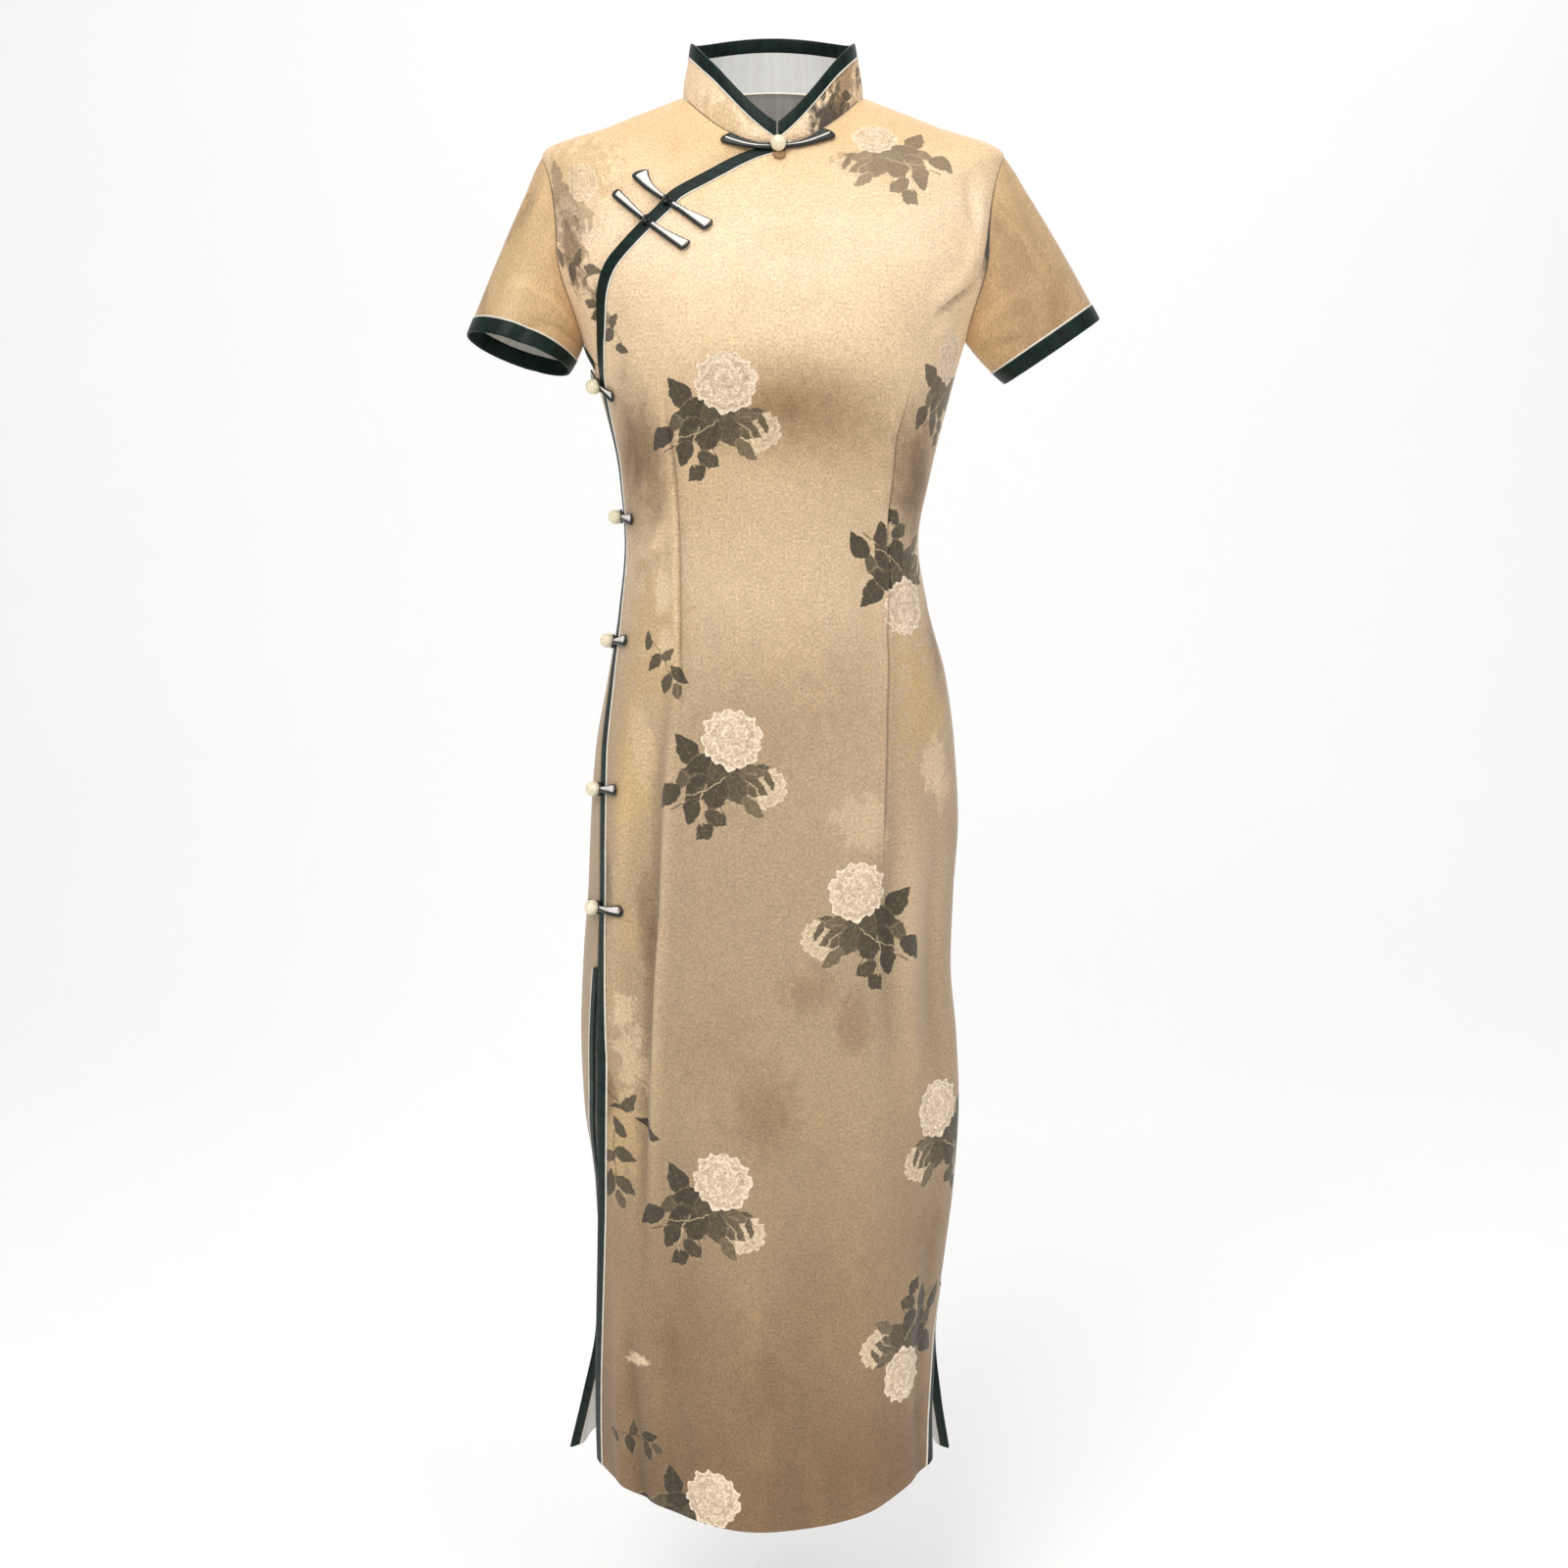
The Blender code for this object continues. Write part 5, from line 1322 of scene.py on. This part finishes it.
# Rise of the folds at each turn and share, as bells across their lines; turns wrap round the sleeve.
def sleeveFoldHeight(hand, turn, share):
    rise = np.zeros(turn.shape)
    perTurn, perLength = sleeveSizes["perTurn"], sleeveSizes["perLength"]
    for turnA, shareA, turnB, shareB, halfWidth, height in sleeveFolds[hand]:
        along = np.array([(turnB - turnA) * perTurn, (shareB - shareA) * perLength])
        length = np.linalg.norm(along)
        offX = (np.mod(turn - turnA + math.pi, 2 * math.pi) - math.pi) * perTurn
        offY = (share - shareA) * perLength
        t = np.clip((offX * along[0] + offY * along[1]) / length**2, 0.0, 1.0)
        across = (offX * along[1] - offY * along[0]) / length
        fade = np.sin(math.pi * t) ** sleeveSizes["rounding"] if shareB < 1 else np.sin(math.pi / 2 * t)
        rise = rise + height * fade * bell(across, halfWidth)
    return rise


# Rows of the sleeve at given shares, with their outward directions, from the rows just before and just beyond.
def sleeveRows(hand, shares):
    behind, grid, ahead = (
        np.array([sleevePoint(hand, lambda length, turn, s=share: s(length, turn) + step) for share in shares])
        for step in (-sleeveSizes["probe"], 0.0, sleeveSizes["probe"]))
    around = np.roll(grid, -1, axis=1) - np.roll(grid, 1, axis=1)
    facing = unit(np.cross(around, ahead - behind))
    away = grid - grid.mean(axis=1, keepdims=True)
    return grid, facing * np.sign(np.sum(facing * away))


def sleeveStart(length, turn):
    return (sleeveSizes["start"] - sleeveSizes["startSwing"] * np.cos(turn)) / length


def beforeCuff(distance):
    return lambda length, turn: 1.0 - distance / length


# The sleeve's cloth starts and ends under the arm, where its flat place has its seam.
def sleeveCloth(hand):
    s = sleeveSizes
    parts = np.concatenate([s["spacing"], np.linspace(s["rowsFrom"], 1.0, s["rows"])])
    end = beforeCuff(trimSizes["cuffWidth"] + trimSizes["gap"])
    shares = [lambda length, turn, p=p: sleeveStart(length, turn) * (1 - p) + end(length, turn) * p for p in parts]
    grid, facing = sleeveRows(hand, shares)
    count = grid.shape[1]
    turn, share = np.meshgrid(turns(count), parts)
    rise = sleeveFoldHeight(hand, turn, share) * np.clip(share / s["foldStarts"], 0, 1)
    rise = rise + seamDip(share * s["capLength"], *s["capDip"])
    # small soft swellings just past the shoulder seam
    height, swellings, phase, middle, spread = s["ease"]
    cap = bell(share - middle, spread) * np.clip(np.cos(turn) + s["capReach"], 0, 1)
    rise = rise + height * np.sin(swellings * turn + phase) * cap
    grid, facing, rise = (np.roll(part, -count // 2, axis=1) for part in (grid, facing, rise))
    step = np.linalg.norm(np.roll(grid, -1, axis=1) - grid, axis=-1)
    across = np.concatenate([np.zeros((len(parts), 1)), np.cumsum(step, axis=1)], axis=1)
    across = -s[hand]["side"] * (across - across[:, 3 * count // 4][:, None])
    along = np.cumsum(np.linalg.norm(np.diff(grid, axis=0, prepend=grid[:1]), axis=-1), axis=0)
    along = np.concatenate([along, along[:, :1]], axis=1)
    walls = [grid + facing * (rise + side)[..., None] for side in (half, -half)]
    uv, title = np.stack([across, s["flatTop"] - along], axis=-1), hand.capitalize()
    # painted shade in the folds' troughs and painted light on their ridges, laid in the shadow attribute
    shade = -np.tanh(rise / s["fullFold"]) * s["foldShade"]
    cloth = clothShell("sleeveCloth" + title, *walls, uv, ring=True, shadow=shade)
    return finishPiece(cloth, "sleeve_" + hand, clothMaterials["sleeve" + title], trimLook["lining"])


# Trim rings: the section runs along the sleeve and off it, and is carried round the turn.
def sleeve(hand):
    t, made = trimSizes, [sleeveCloth(hand)]
    for kind, near, wide, halfHeight, lift, section, look in edgeTrims(
            t["cuffWidth"], t["bandWall"] / 2, sleeveSizes["cuffLift"], t["cordLift"]):
        along, up = bandSection(*section)
        grid, facing = sleeveRows(hand, [beforeCuff(near + wide * a) for a in along])
        count = grid.shape[1]
        fold = sleeveFoldHeight(hand, turns(count), np.ones(count))
        points = grid + facing * (lift + halfHeight * up[:, None] + fold[None, :])[..., None]
        ring = tubeMesh("cuff" + kind + hand.capitalize(), np.swapaxes(points, 0, 1), closed=True)
        made.append(finishPiece(ring, "cuff_" + kind.lower() + "_" + hand, look))
    return made[0], made[1:]


sleeveRight, rightTrims = sleeve("right")
sleeveLeft, leftTrims = sleeve("left")
print("sleeves made")

# The standing collar rises straight from the neck seam and leans in; its top edge climbs from the front by a quarter
# sine. Its columns crowd at the throat, in degrees from the opening.
collarSizes = {
    "full": .043, "front": .0165, "rise": 52, "lean": .17, "gap": .6, "centre": 87, "wall": .0018, "foot": .0008,
    "near": (0, .6, 1.4, 2.4, 3.6, 5, 6.6, 8.4, 10.4, 12.6), "columns": 130, "rows": 13, "flatEnd": .21,
    "flatFoot": .26, "widens": .12, "widensOver": 30, "seamDip": (.0007, .0014),
    "bandLift": .0001, "bandHalf": .0013, "cordLift": .0003,
    # soft swelling: in the middle, then the waves, which grow to the top, and their count
    "swell": .0006, "wave": .0004, "waves": 5,
}


def collarHeight(fromFront):
    c = collarSizes
    t = np.clip(fromFront / c["rise"], 0.0, 1.0)
    return c["front"] + (c["full"] - c["front"]) * np.sin(t * math.pi / 2)


def collarPoint(angle, height, lift):
    def place(a, h):
        base = formPoint("front", a, np.full(np.shape(a), f["neck"]))
        turn = np.radians(a)
        inward = np.stack([-np.cos(turn), np.sin(turn), np.zeros(np.shape(a))], axis=-1)
        return base + h[..., None] * (np.array([0.0, 0.0, 1.0]) + collarSizes["lean"] * inward)

    angle, height = np.broadcast_arrays(angle, height)
    beside = slopeSteps["angle"]
    byHeight = place(angle, height + slopeSteps["lift"]) - place(angle, height)
    facing = unit(np.cross(byHeight, place(angle + beside, height) - place(angle - beside, height)))
    return place(angle, height) + facing * np.asarray(lift)[..., None]


def collar():
    c, t = collarSizes, trimSizes
    near = np.array(c["near"])
    first = c["centre"] + c["gap"] + near
    last = c["centre"] + 360.0 - c["gap"] - near[::-1]
    angles = np.concatenate([first, np.linspace(first[-1], last[0], c["columns"])[1:-1], last])
    fromFront = np.minimum(angles - c["centre"], c["centre"] + 360.0 - angles)
    top = collarHeight(fromFront)
    bandFoot = top - t["bandWidth"] * (1 + c["widens"] * np.exp(-fromFront / c["widensOver"]))
    share = np.linspace(0, 1, c["rows"])[:, None]
    height = c["foot"] + (bandFoot - t["gap"] - c["foot"])[None, :] * share
    angle = np.repeat(angles[None, :], c["rows"], axis=0)
    wall = c["wall"] / 2
    swell = c["swell"] * np.sin(math.pi * share) + c["wave"] * np.sin(np.radians(angle) * c["waves"] + 1.0) * share
    depth, width = c["seamDip"]
    outer = collarPoint(angle, height, wall + swell - depth * bell(height - c["foot"], width))
    inner = collarPoint(angle, height, -wall + swell)
    reach = np.cumsum(np.linalg.norm(np.diff(outer[:1], axis=1, prepend=outer[:1, :1]), axis=-1), axis=1)
    uv = np.stack([np.repeat(c["flatEnd"] - reach, c["rows"], axis=0), c["flatFoot"] + height], axis=-1)
    cloth = clothShell("collarCloth", outer, inner, uv)
    made = [finishPiece(cloth, "collar", clothMaterials["collar"], trimLook["liningPale"])]
    for kind, start, wide, halfHeight, lift, section, look in edgeTrims(
            top - bandFoot, c["bandHalf"], c["bandLift"], wall + c["cordLift"]):
        across, up = bandSection(*section)
        tall = (top - start - wide)[:, None] + np.broadcast_to(wide, top.shape)[:, None] * across[None, :]
        sides, lifts = np.broadcast_arrays(angles[:, None], lift + halfHeight * up[None, :])
        strip = tubeMesh("collar" + kind, collarPoint(sides, tall, lifts))
        made.append(finishPiece(strip, "collar_" + kind.lower(), look))
    return made[0], made[1:]


collarCloth, collarTrims = collar()
print("collar made")

# Closures: flared arms of pale satin between dark cords, and a ball or a small knot between them.
knotSizes = {
    "armLength": .035, "narrow": .0044, "wide": .0088, "lift": .00215, "ball": .0063, "knot": .0048, "flatness": .5,
    "clear": .006, "thinCord": .0007, "thickCord": .0015, "knotCord": .00125, "paleCord": .0008, "neckArmDrop": .0085,
    "neckBallDrop": .011, "neckAngle": 87, "bandTop": .0014, "loop": .005, "loopCord": .0011, "stubDrop": .0095,
    "stubLift": .0024, "stub": (.0052, .0046, .0019), "loopLift": .0016, "neckLoopLift": .0009, "knotClear": .0003,
    # how an arm flares, where it comes down to the cloth and over what length, and by how much, at the neck too
    "flare": 1.6, "restsFrom": .004, "restsOver": .008, "settle": .0008, "neckSettle": .0004,
    # its band: how far inside the cord, how far aside, lift, half thickness, ripples and how much its sides thin
    "bandInset": .0009, "aside": .0006, "bandLift": .0008, "puff": .001, "ripple": .0003, "ripples": 1900, "thins": .35,
    # its cord: how far inside the edge, how far round the end, lift, and the pale line's distance aside
    "cordInset": .0006, "bend": .0022, "cordLift": .0001, "cordMost": .0013, "lineAside": -.12,
    # rows along an arm, its section, rows round the end and points round its cord; the pale line's end
    "armRows": 30, "armSection": (14, .6), "bendRows": 17, "armCord": 12, "lineEnd": .001,
    # a ball's first ring in radians, rings, points round and waver; points round its loop and along the small knot
    "pole": .05, "rings": 34, "around": 44, "waver": .01, "wavers": 5, "loopRows": 48, "knotRows": 120,
    # name: level on the opening edge, share of the arm's length, whether it has a ball
    "places": {
        "chest_upper": (-.052, 1, False), "chest_lower": (-.077, 1, False), "underarm": (-.206, .55, True),
        "waist": (-.314, .65, True), "hip": (-.418, .6, True), "thigh_upper": (-.539, .6, True),
        "thigh_lower": (-.637, .6, True),
    },
}


def frontPoint(angle, level, lift):
    return panelPoint("front", angle, np.clip(level, f["hem"], f["neck"]), lift)


# Carries distances ahead (square to the edge) and aside (along it) onto the form, for a closure at a level.
def edgePlacer(level, ball):
    base = np.array(level)
    ends = [formPoint("front", openingAngle(at), at) for at in (base + slopeSteps["edge"], base - slopeSteps["edge"])]
    tangent = unit(ends[0] - ends[1])
    angle = openingAngle(base) - (0.0 if ball else inset("front", openingAngle, base, trimSizes["bandWidth"] / 2))
    byAngle, byLevel = formSlopes("front", angle, base)
    across = unit(np.cross(tangent, unit(np.cross(byLevel, byAngle))))
    back = np.linalg.pinv(np.stack([byAngle, byLevel], axis=1)).T

    def place(ahead, aside, lift):
        move = (ahead[..., None] * across + aside[..., None] * tangent) @ back
        return frontPoint(angle + move[..., 0], base + move[..., 1], lift)

    return place


def neckPlacer():
    middle, level = knotSizes["neckAngle"], f["neck"] - knotSizes["neckArmDrop"]
    wide, tall = (np.linalg.norm(slope) for slope in formSlopes("front", np.array(float(middle)), np.array(level)))
    return lambda ahead, aside, lift: frontPoint(middle + ahead / wide, level + aside / tall, lift)


# A round cord along a path of points: its section turns with the path and may change radius along it.
def cordAlong(name, path, radius, around=10, closed=False):
    ahead = np.roll(path, -1, axis=0) - np.roll(path, 1, axis=0) if closed else np.gradient(path, axis=0)
    ahead = unit(ahead)
    guide = unit(path.mean(axis=0) * np.array([1, 1, 0]) + np.array([0, -0.02, 0.01]))
    side = unit(np.cross(ahead, guide))
    up = np.cross(side, ahead)
    turn = turns(around)[None, :, None]
    radius = np.broadcast_to(np.asarray(radius, float), (len(path),))[:, None, None]
    rows = path[:, None, :] + radius * (np.cos(turn) * side[:, None, :] + np.sin(turn) * up[:, None, :])
    return tubeMesh(name, rows, closed=closed)


# One arm: a puffed band whose half width grows as a power of the distance, edged by one dark cord bent round its end.
def knotArm(name, node, place, direction, start, length, settle, dark=False):
    k = knotSizes

    def halfWidth(s):
        wider = np.clip((s - start) / length, 0, 1) ** k["flare"]
        return (k["narrow"] + (k["wide"] - k["narrow"]) * wider) / 2

    def riseAt(s):
        return k["lift"] - settle * eased(np.clip((s - start - k["restsFrom"]) / k["restsOver"], 0, 1))

    s = np.linspace(start, start + length, k["armRows"])
    across, up = bandSection(*k["armSection"])
    across = (across * 2 - 1)[None, :]
    aside = across * (halfWidth(s)[:, None] - k["bandInset"]) + k["aside"]
    puff = (k["puff"] + k["ripple"] * np.sin(s * k["ripples"]))[:, None]
    lift = riseAt(s)[:, None] + k["bandLift"] + puff * up[None, :] * (1 - k["thins"] * across**2)
    band = tubeMesh(name + "Band", place(direction * np.repeat(s[:, None], up.size, axis=1), aside, lift))
    made = [finishPiece(band, node, trimLook["knotDark" if dark else "knotWhite"])]
    # the cord goes out along one side, round the end and back along the other
    bend = np.linspace(-math.pi / 2, math.pi / 2, k["bendRows"])[1:-1]
    end = start + length
    reach = halfWidth(s) - k["cordInset"]
    out = np.concatenate([s, end + k["bend"] * np.cos(bend), s[::-1]])
    side = np.concatenate([-reach, reach[-1] * np.sin(bend), reach[::-1]])
    share = (1 - np.clip(side / (halfWidth(out) - k["cordInset"]), -1, 1)) / 2
    radius = k["thinCord"] + (k["thickCord"] - k["thinCord"]) * share
    path = place(direction * out, side, riseAt(out) + np.minimum(radius, k["cordMost"]) + k["cordLift"])
    made.append(finishPiece(cordAlong(name + "Cord", path, radius, k["armCord"]), node, trimLook["knotDark"]))
    if dark:
        # a dark arm carries one pale cord down its middle
        line = np.linspace(start + k["lineEnd"], end + k["lineEnd"], k["armRows"])
        path = place(direction * line, k["lineAside"] * halfWidth(line), riseAt(line) + 2 * k["paleCord"])
        made.append(finishPiece(cordAlong(name + "Line", path, k["paleCord"]), node, trimLook["knotWhite"]))
    return made


# Two directions square to the way a closure faces: aside, and along the cloth.
def facingSides(facing):
    side = unit(np.cross(facing, np.array([0.0, 0.0, 1.0])))
    return side, np.cross(facing, side)


# A round button: a ball of rings, drawn in very slightly where its cord is tucked; radii run aside, along and out.
def ballPiece(name, node, centre, facing, radii, look="ball"):
    k, (wide, tall, thick) = knotSizes, radii
    side, other = facingSides(facing)
    tilt = np.linspace(k["pole"], math.pi - k["pole"], k["rings"])[:, None, None]
    turn = turns(k["around"])[None, :, None]
    swell = 1 - k["waver"] * np.cos(k["wavers"] * turn + 3 * tilt) * np.sin(tilt)
    around = np.sin(tilt) * (wide * np.cos(turn) * side + tall * np.sin(turn) * other)
    ball = tubeMesh(name, centre + swell * (around + thick * np.cos(tilt) * facing))
    return finishPiece(ball, node, trimLook[look])


def ringCord(name, node, centre, facing, lift):
    k, (side, other) = knotSizes, facingSides(facing)
    turn = turns(k["loopRows"])[:, None]
    path = centre + facing * lift + k["loop"] * (np.cos(turn) * side + np.sin(turn) * other)
    return finishPiece(cordAlong(name, path, k["loopCord"], closed=True), node, trimLook["knotDark"])


# A small wrapped knot: a trefoil line, x = sin t + 2 sin 2t and y = cos t - 2 cos 2t, pressed flat.
def smallKnot(name, node, centre, facing, tangent):
    k = knotSizes
    t = turns(k["knotRows"])[:, None]
    x, y = np.sin(t) + 2 * np.sin(2 * t), np.cos(t) - 2 * np.cos(2 * t)
    path = centre + (k["knot"] - k["knotCord"]) / 3 * (x * tangent + y * np.cross(facing, tangent))
    path = path - facing * np.sin(3 * t) * (k["knot"] * k["flatness"] - k["knotCord"])
    return finishPiece(cordAlong(name, path, k["knotCord"], closed=True), node, trimLook["knotDark"])


def closures():
    k = knotSizes
    made, ball = [], (k["ball"],) * 3
    for name, (level, share, hasBall) in k["places"].items():
        place = edgePlacer(level, hasBall)
        title, node = "knot" + name.title().replace("_", ""), "knot_" + name
        start, settle = (k["clear"], k["settle"]) if hasBall else (k["knot"] + k["knotClear"], 0.0)
        length = k["armLength"] * share
        made += knotArm(title + "ArmA", node + "_strip_a", place, 1, start, length, 0.0)
        made += knotArm(title + "ArmB", node + "_strip_b", place, -1, start, length, settle)
        zero, step = np.zeros(1), slopeSteps["lift"]
        low, high, beside = place(zero, zero, 0.0)[0], place(zero, zero, step)[0], place(zero, zero + step, 0.0)[0]
        facing = unit(high - low)
        if hasBall:
            centre = low + facing * (k["bandTop"] + k["ball"])
            made.append(ballPiece(title + "Ball", node + "_ball", centre, facing, ball))
            made.append(ringCord(title + "Loop", node + "_ball", low, facing, k["bandTop"] + k["loopLift"]))
        else:
            centre = low + facing * (k["bandTop"] + k["knot"] * k["flatness"])
            made.append(smallKnot(title, node + "_knot", centre, facing, unit(beside - low)))
    place = neckPlacer()
    for side, direction in (("right", 1), ("left", -1)):
        made += knotArm("knotNeck" + side.capitalize(), "knot_neck_strip_" + side, place, direction, k["clear"],
                        k["armLength"], k["neckSettle"], True)
    at, drop = np.array([k["neckAngle"]]), np.array([f["neck"] - k["neckBallDrop"]])
    low, high = frontPoint(at, drop, 0.0)[0], frontPoint(at, drop, slopeSteps["lift"])[0]
    facing = unit(high - low)
    stub = frontPoint(at, drop - k["stubDrop"], k["stubLift"])[0]
    made.append(ballPiece("knotNeckBall", "knot_neck_ball", low + facing * (k["lift"] + k["ball"]), facing, ball))
    made.append(ringCord("knotNeckLoop", "knot_neck_ball", low, facing, k["lift"] + k["neckLoopLift"]))
    made.append(ballPiece("knotNeckStub", "knot_neck_ball", stub, facing, k["stub"], "stub"))
    return made


# A short dark band along the side seam under the arm: where it starts and ends between underarm and flap's foot.
underarmSizes = {"from": .3, "to": .8, "rows": 40, "lift": .0016, "half": .00055, "section": (14, .5)}


def underarmBand():
    s = underarmSizes
    line = f["underarm"] + (f["flapFoot"] - f["underarm"]) * np.linspace(s["from"], s["to"], s["rows"])
    across, up = bandSection(*s["section"])
    level = line[:, None] + (across[None, :] - 0.5) * trimSizes["underarmBand"]
    angle, lift = np.broadcast_arrays(backRightAngle(line)[:, None], s["lift"] + s["half"] * up[None, :])
    band = tubeMesh("underarmBand", panelPoint("front", angle, level, lift))
    return finishPiece(band, "underarm_binding", trimLook["binding"])


knotPieces = closures()
bandUnderArm = underarmBand()
print("closures made:", len(knotPieces))

# The front's trims and the closures, added into one list that is not kept.
frontTrims + knotPieces

stageLook = {
    "floor": -1.36, "back": 1.6, "bend": 0.7, "bendRows": 24, "wide": 4.0, "near": (-3.2, -1.0), "top": 3.0,
    "colour": (0.97, 0.97, 0.968, 1), "shade": .985, "roughness": .9, "specular": .2, "glow": 0.09,
}


# Floor and backdrop in one sweep: flat, then a quarter circle, then upright.
def backdrop():
    s = stageLook
    turn = np.linspace(0, math.pi / 2, s["bendRows"])
    ahead = np.concatenate([s["near"], s["back"] + s["bend"] * np.sin(turn), [s["back"] + s["bend"]]])
    height = np.concatenate([[s["floor"]] * 2, s["floor"] + s["bend"] * (1 - np.cos(turn)), [s["top"]]])
    across = np.linspace(-s["wide"], s["wide"], 3)
    points = np.stack(np.broadcast_arrays(across[None, :], ahead[:, None], height[:, None]), axis=-1)
    _, faces, _ = gridFaces(len(ahead), 3, False, False)
    uv = [np.zeros(faces.shape + (2,))]
    sweep = placeMesh("studioSweep", points.reshape(-1, 3), [faces], uv, closed=False)
    made, tree, shader = startMaterial("studioPaper", s["roughness"], 0.0, 0.0, s["specular"])
    grain = noise(addNode(tree, "ShaderNodeTexCoord", {}, "Object"), 3.0, 2.0)
    low = tuple(c * s["shade"] for c in s["colour"][:3]) + (1.0,)
    # the paper also glows faintly white: painted light that brightens it beyond the lamps
    fillInputs(tree, shader, {"Base Color": blend(grain, low, s["colour"]), "Emission Color": (1.0, 1.0, 1.0, 1.0),
                              "Emission Strength": s["glow"]})
    sweep.data.materials.append(made)


backdrop()

studioLook = {
    "camera": (0.009, -1.90, -0.23), "tilt": 80.7, "lens": 51.9, "sensor": 36.0, "clipStart": .02, "world": 0.41,
    # name: place, aim, size across and up, power, colour
    "lights": {
        "keySoft": ((-0.9, -2.6, 1.7), (0.0, 0.0, -0.3), (1.6, 1.4), 52.0, (1.0, 0.985, 0.96)),
        "fillSoft": ((1.9, -2.3, 0.4), (0.0, 0.0, -0.5), (2.0, 2.4), 15.0, (0.97, 0.985, 1.0)),
        "topSoft": ((0.0, -0.7, 2.2), (0.0, 0.0, -0.2), (2.0, 1.6), 26.0, (1.0, 1.0, 1.0)),
        "rimSoft": ((0.4, 2.1, 1.2), (0.0, 0.0, -0.4), (2.2, 1.6), 18.0, (1.0, 1.0, 1.0)),
    },
}


def placed(name, data, place, turn):
    thing = bpy.data.objects.new(name, data)
    thing.location, thing.rotation_euler = place, turn
    bpy.context.scene.collection.objects.link(thing)
    return thing


def studio():
    s = studioLook
    camera = bpy.data.cameras.new("studioCamera")
    camera.lens, camera.sensor_width, camera.clip_start = s["lens"], s["sensor"], s["clipStart"]
    bpy.context.scene.camera = placed("studioCamera", camera, s["camera"], (math.radians(s["tilt"]), 0.0, 0.0))
    for name, (place, aim, size, power, colour) in s["lights"].items():
        light = bpy.data.lights.new(name, "AREA")
        light.shape, light.size, light.size_y, light.energy, light.color = "RECTANGLE", *size, power, colour
        placed(name, light, place, (Vector(aim) - Vector(place)).to_track_quat("-Z", "Y").to_euler())
    world = bpy.data.worlds.new("studioAir")
    world.use_nodes = True
    fillInputs(world.node_tree, world.node_tree.nodes["Background"], {
        "Color": (1.0, 1.0, 1.0, 1.0), "Strength": s["world"]})
    bpy.context.scene.world = world
    bpy.context.scene.view_settings.view_transform = "Standard"


studio()
print("studio set")
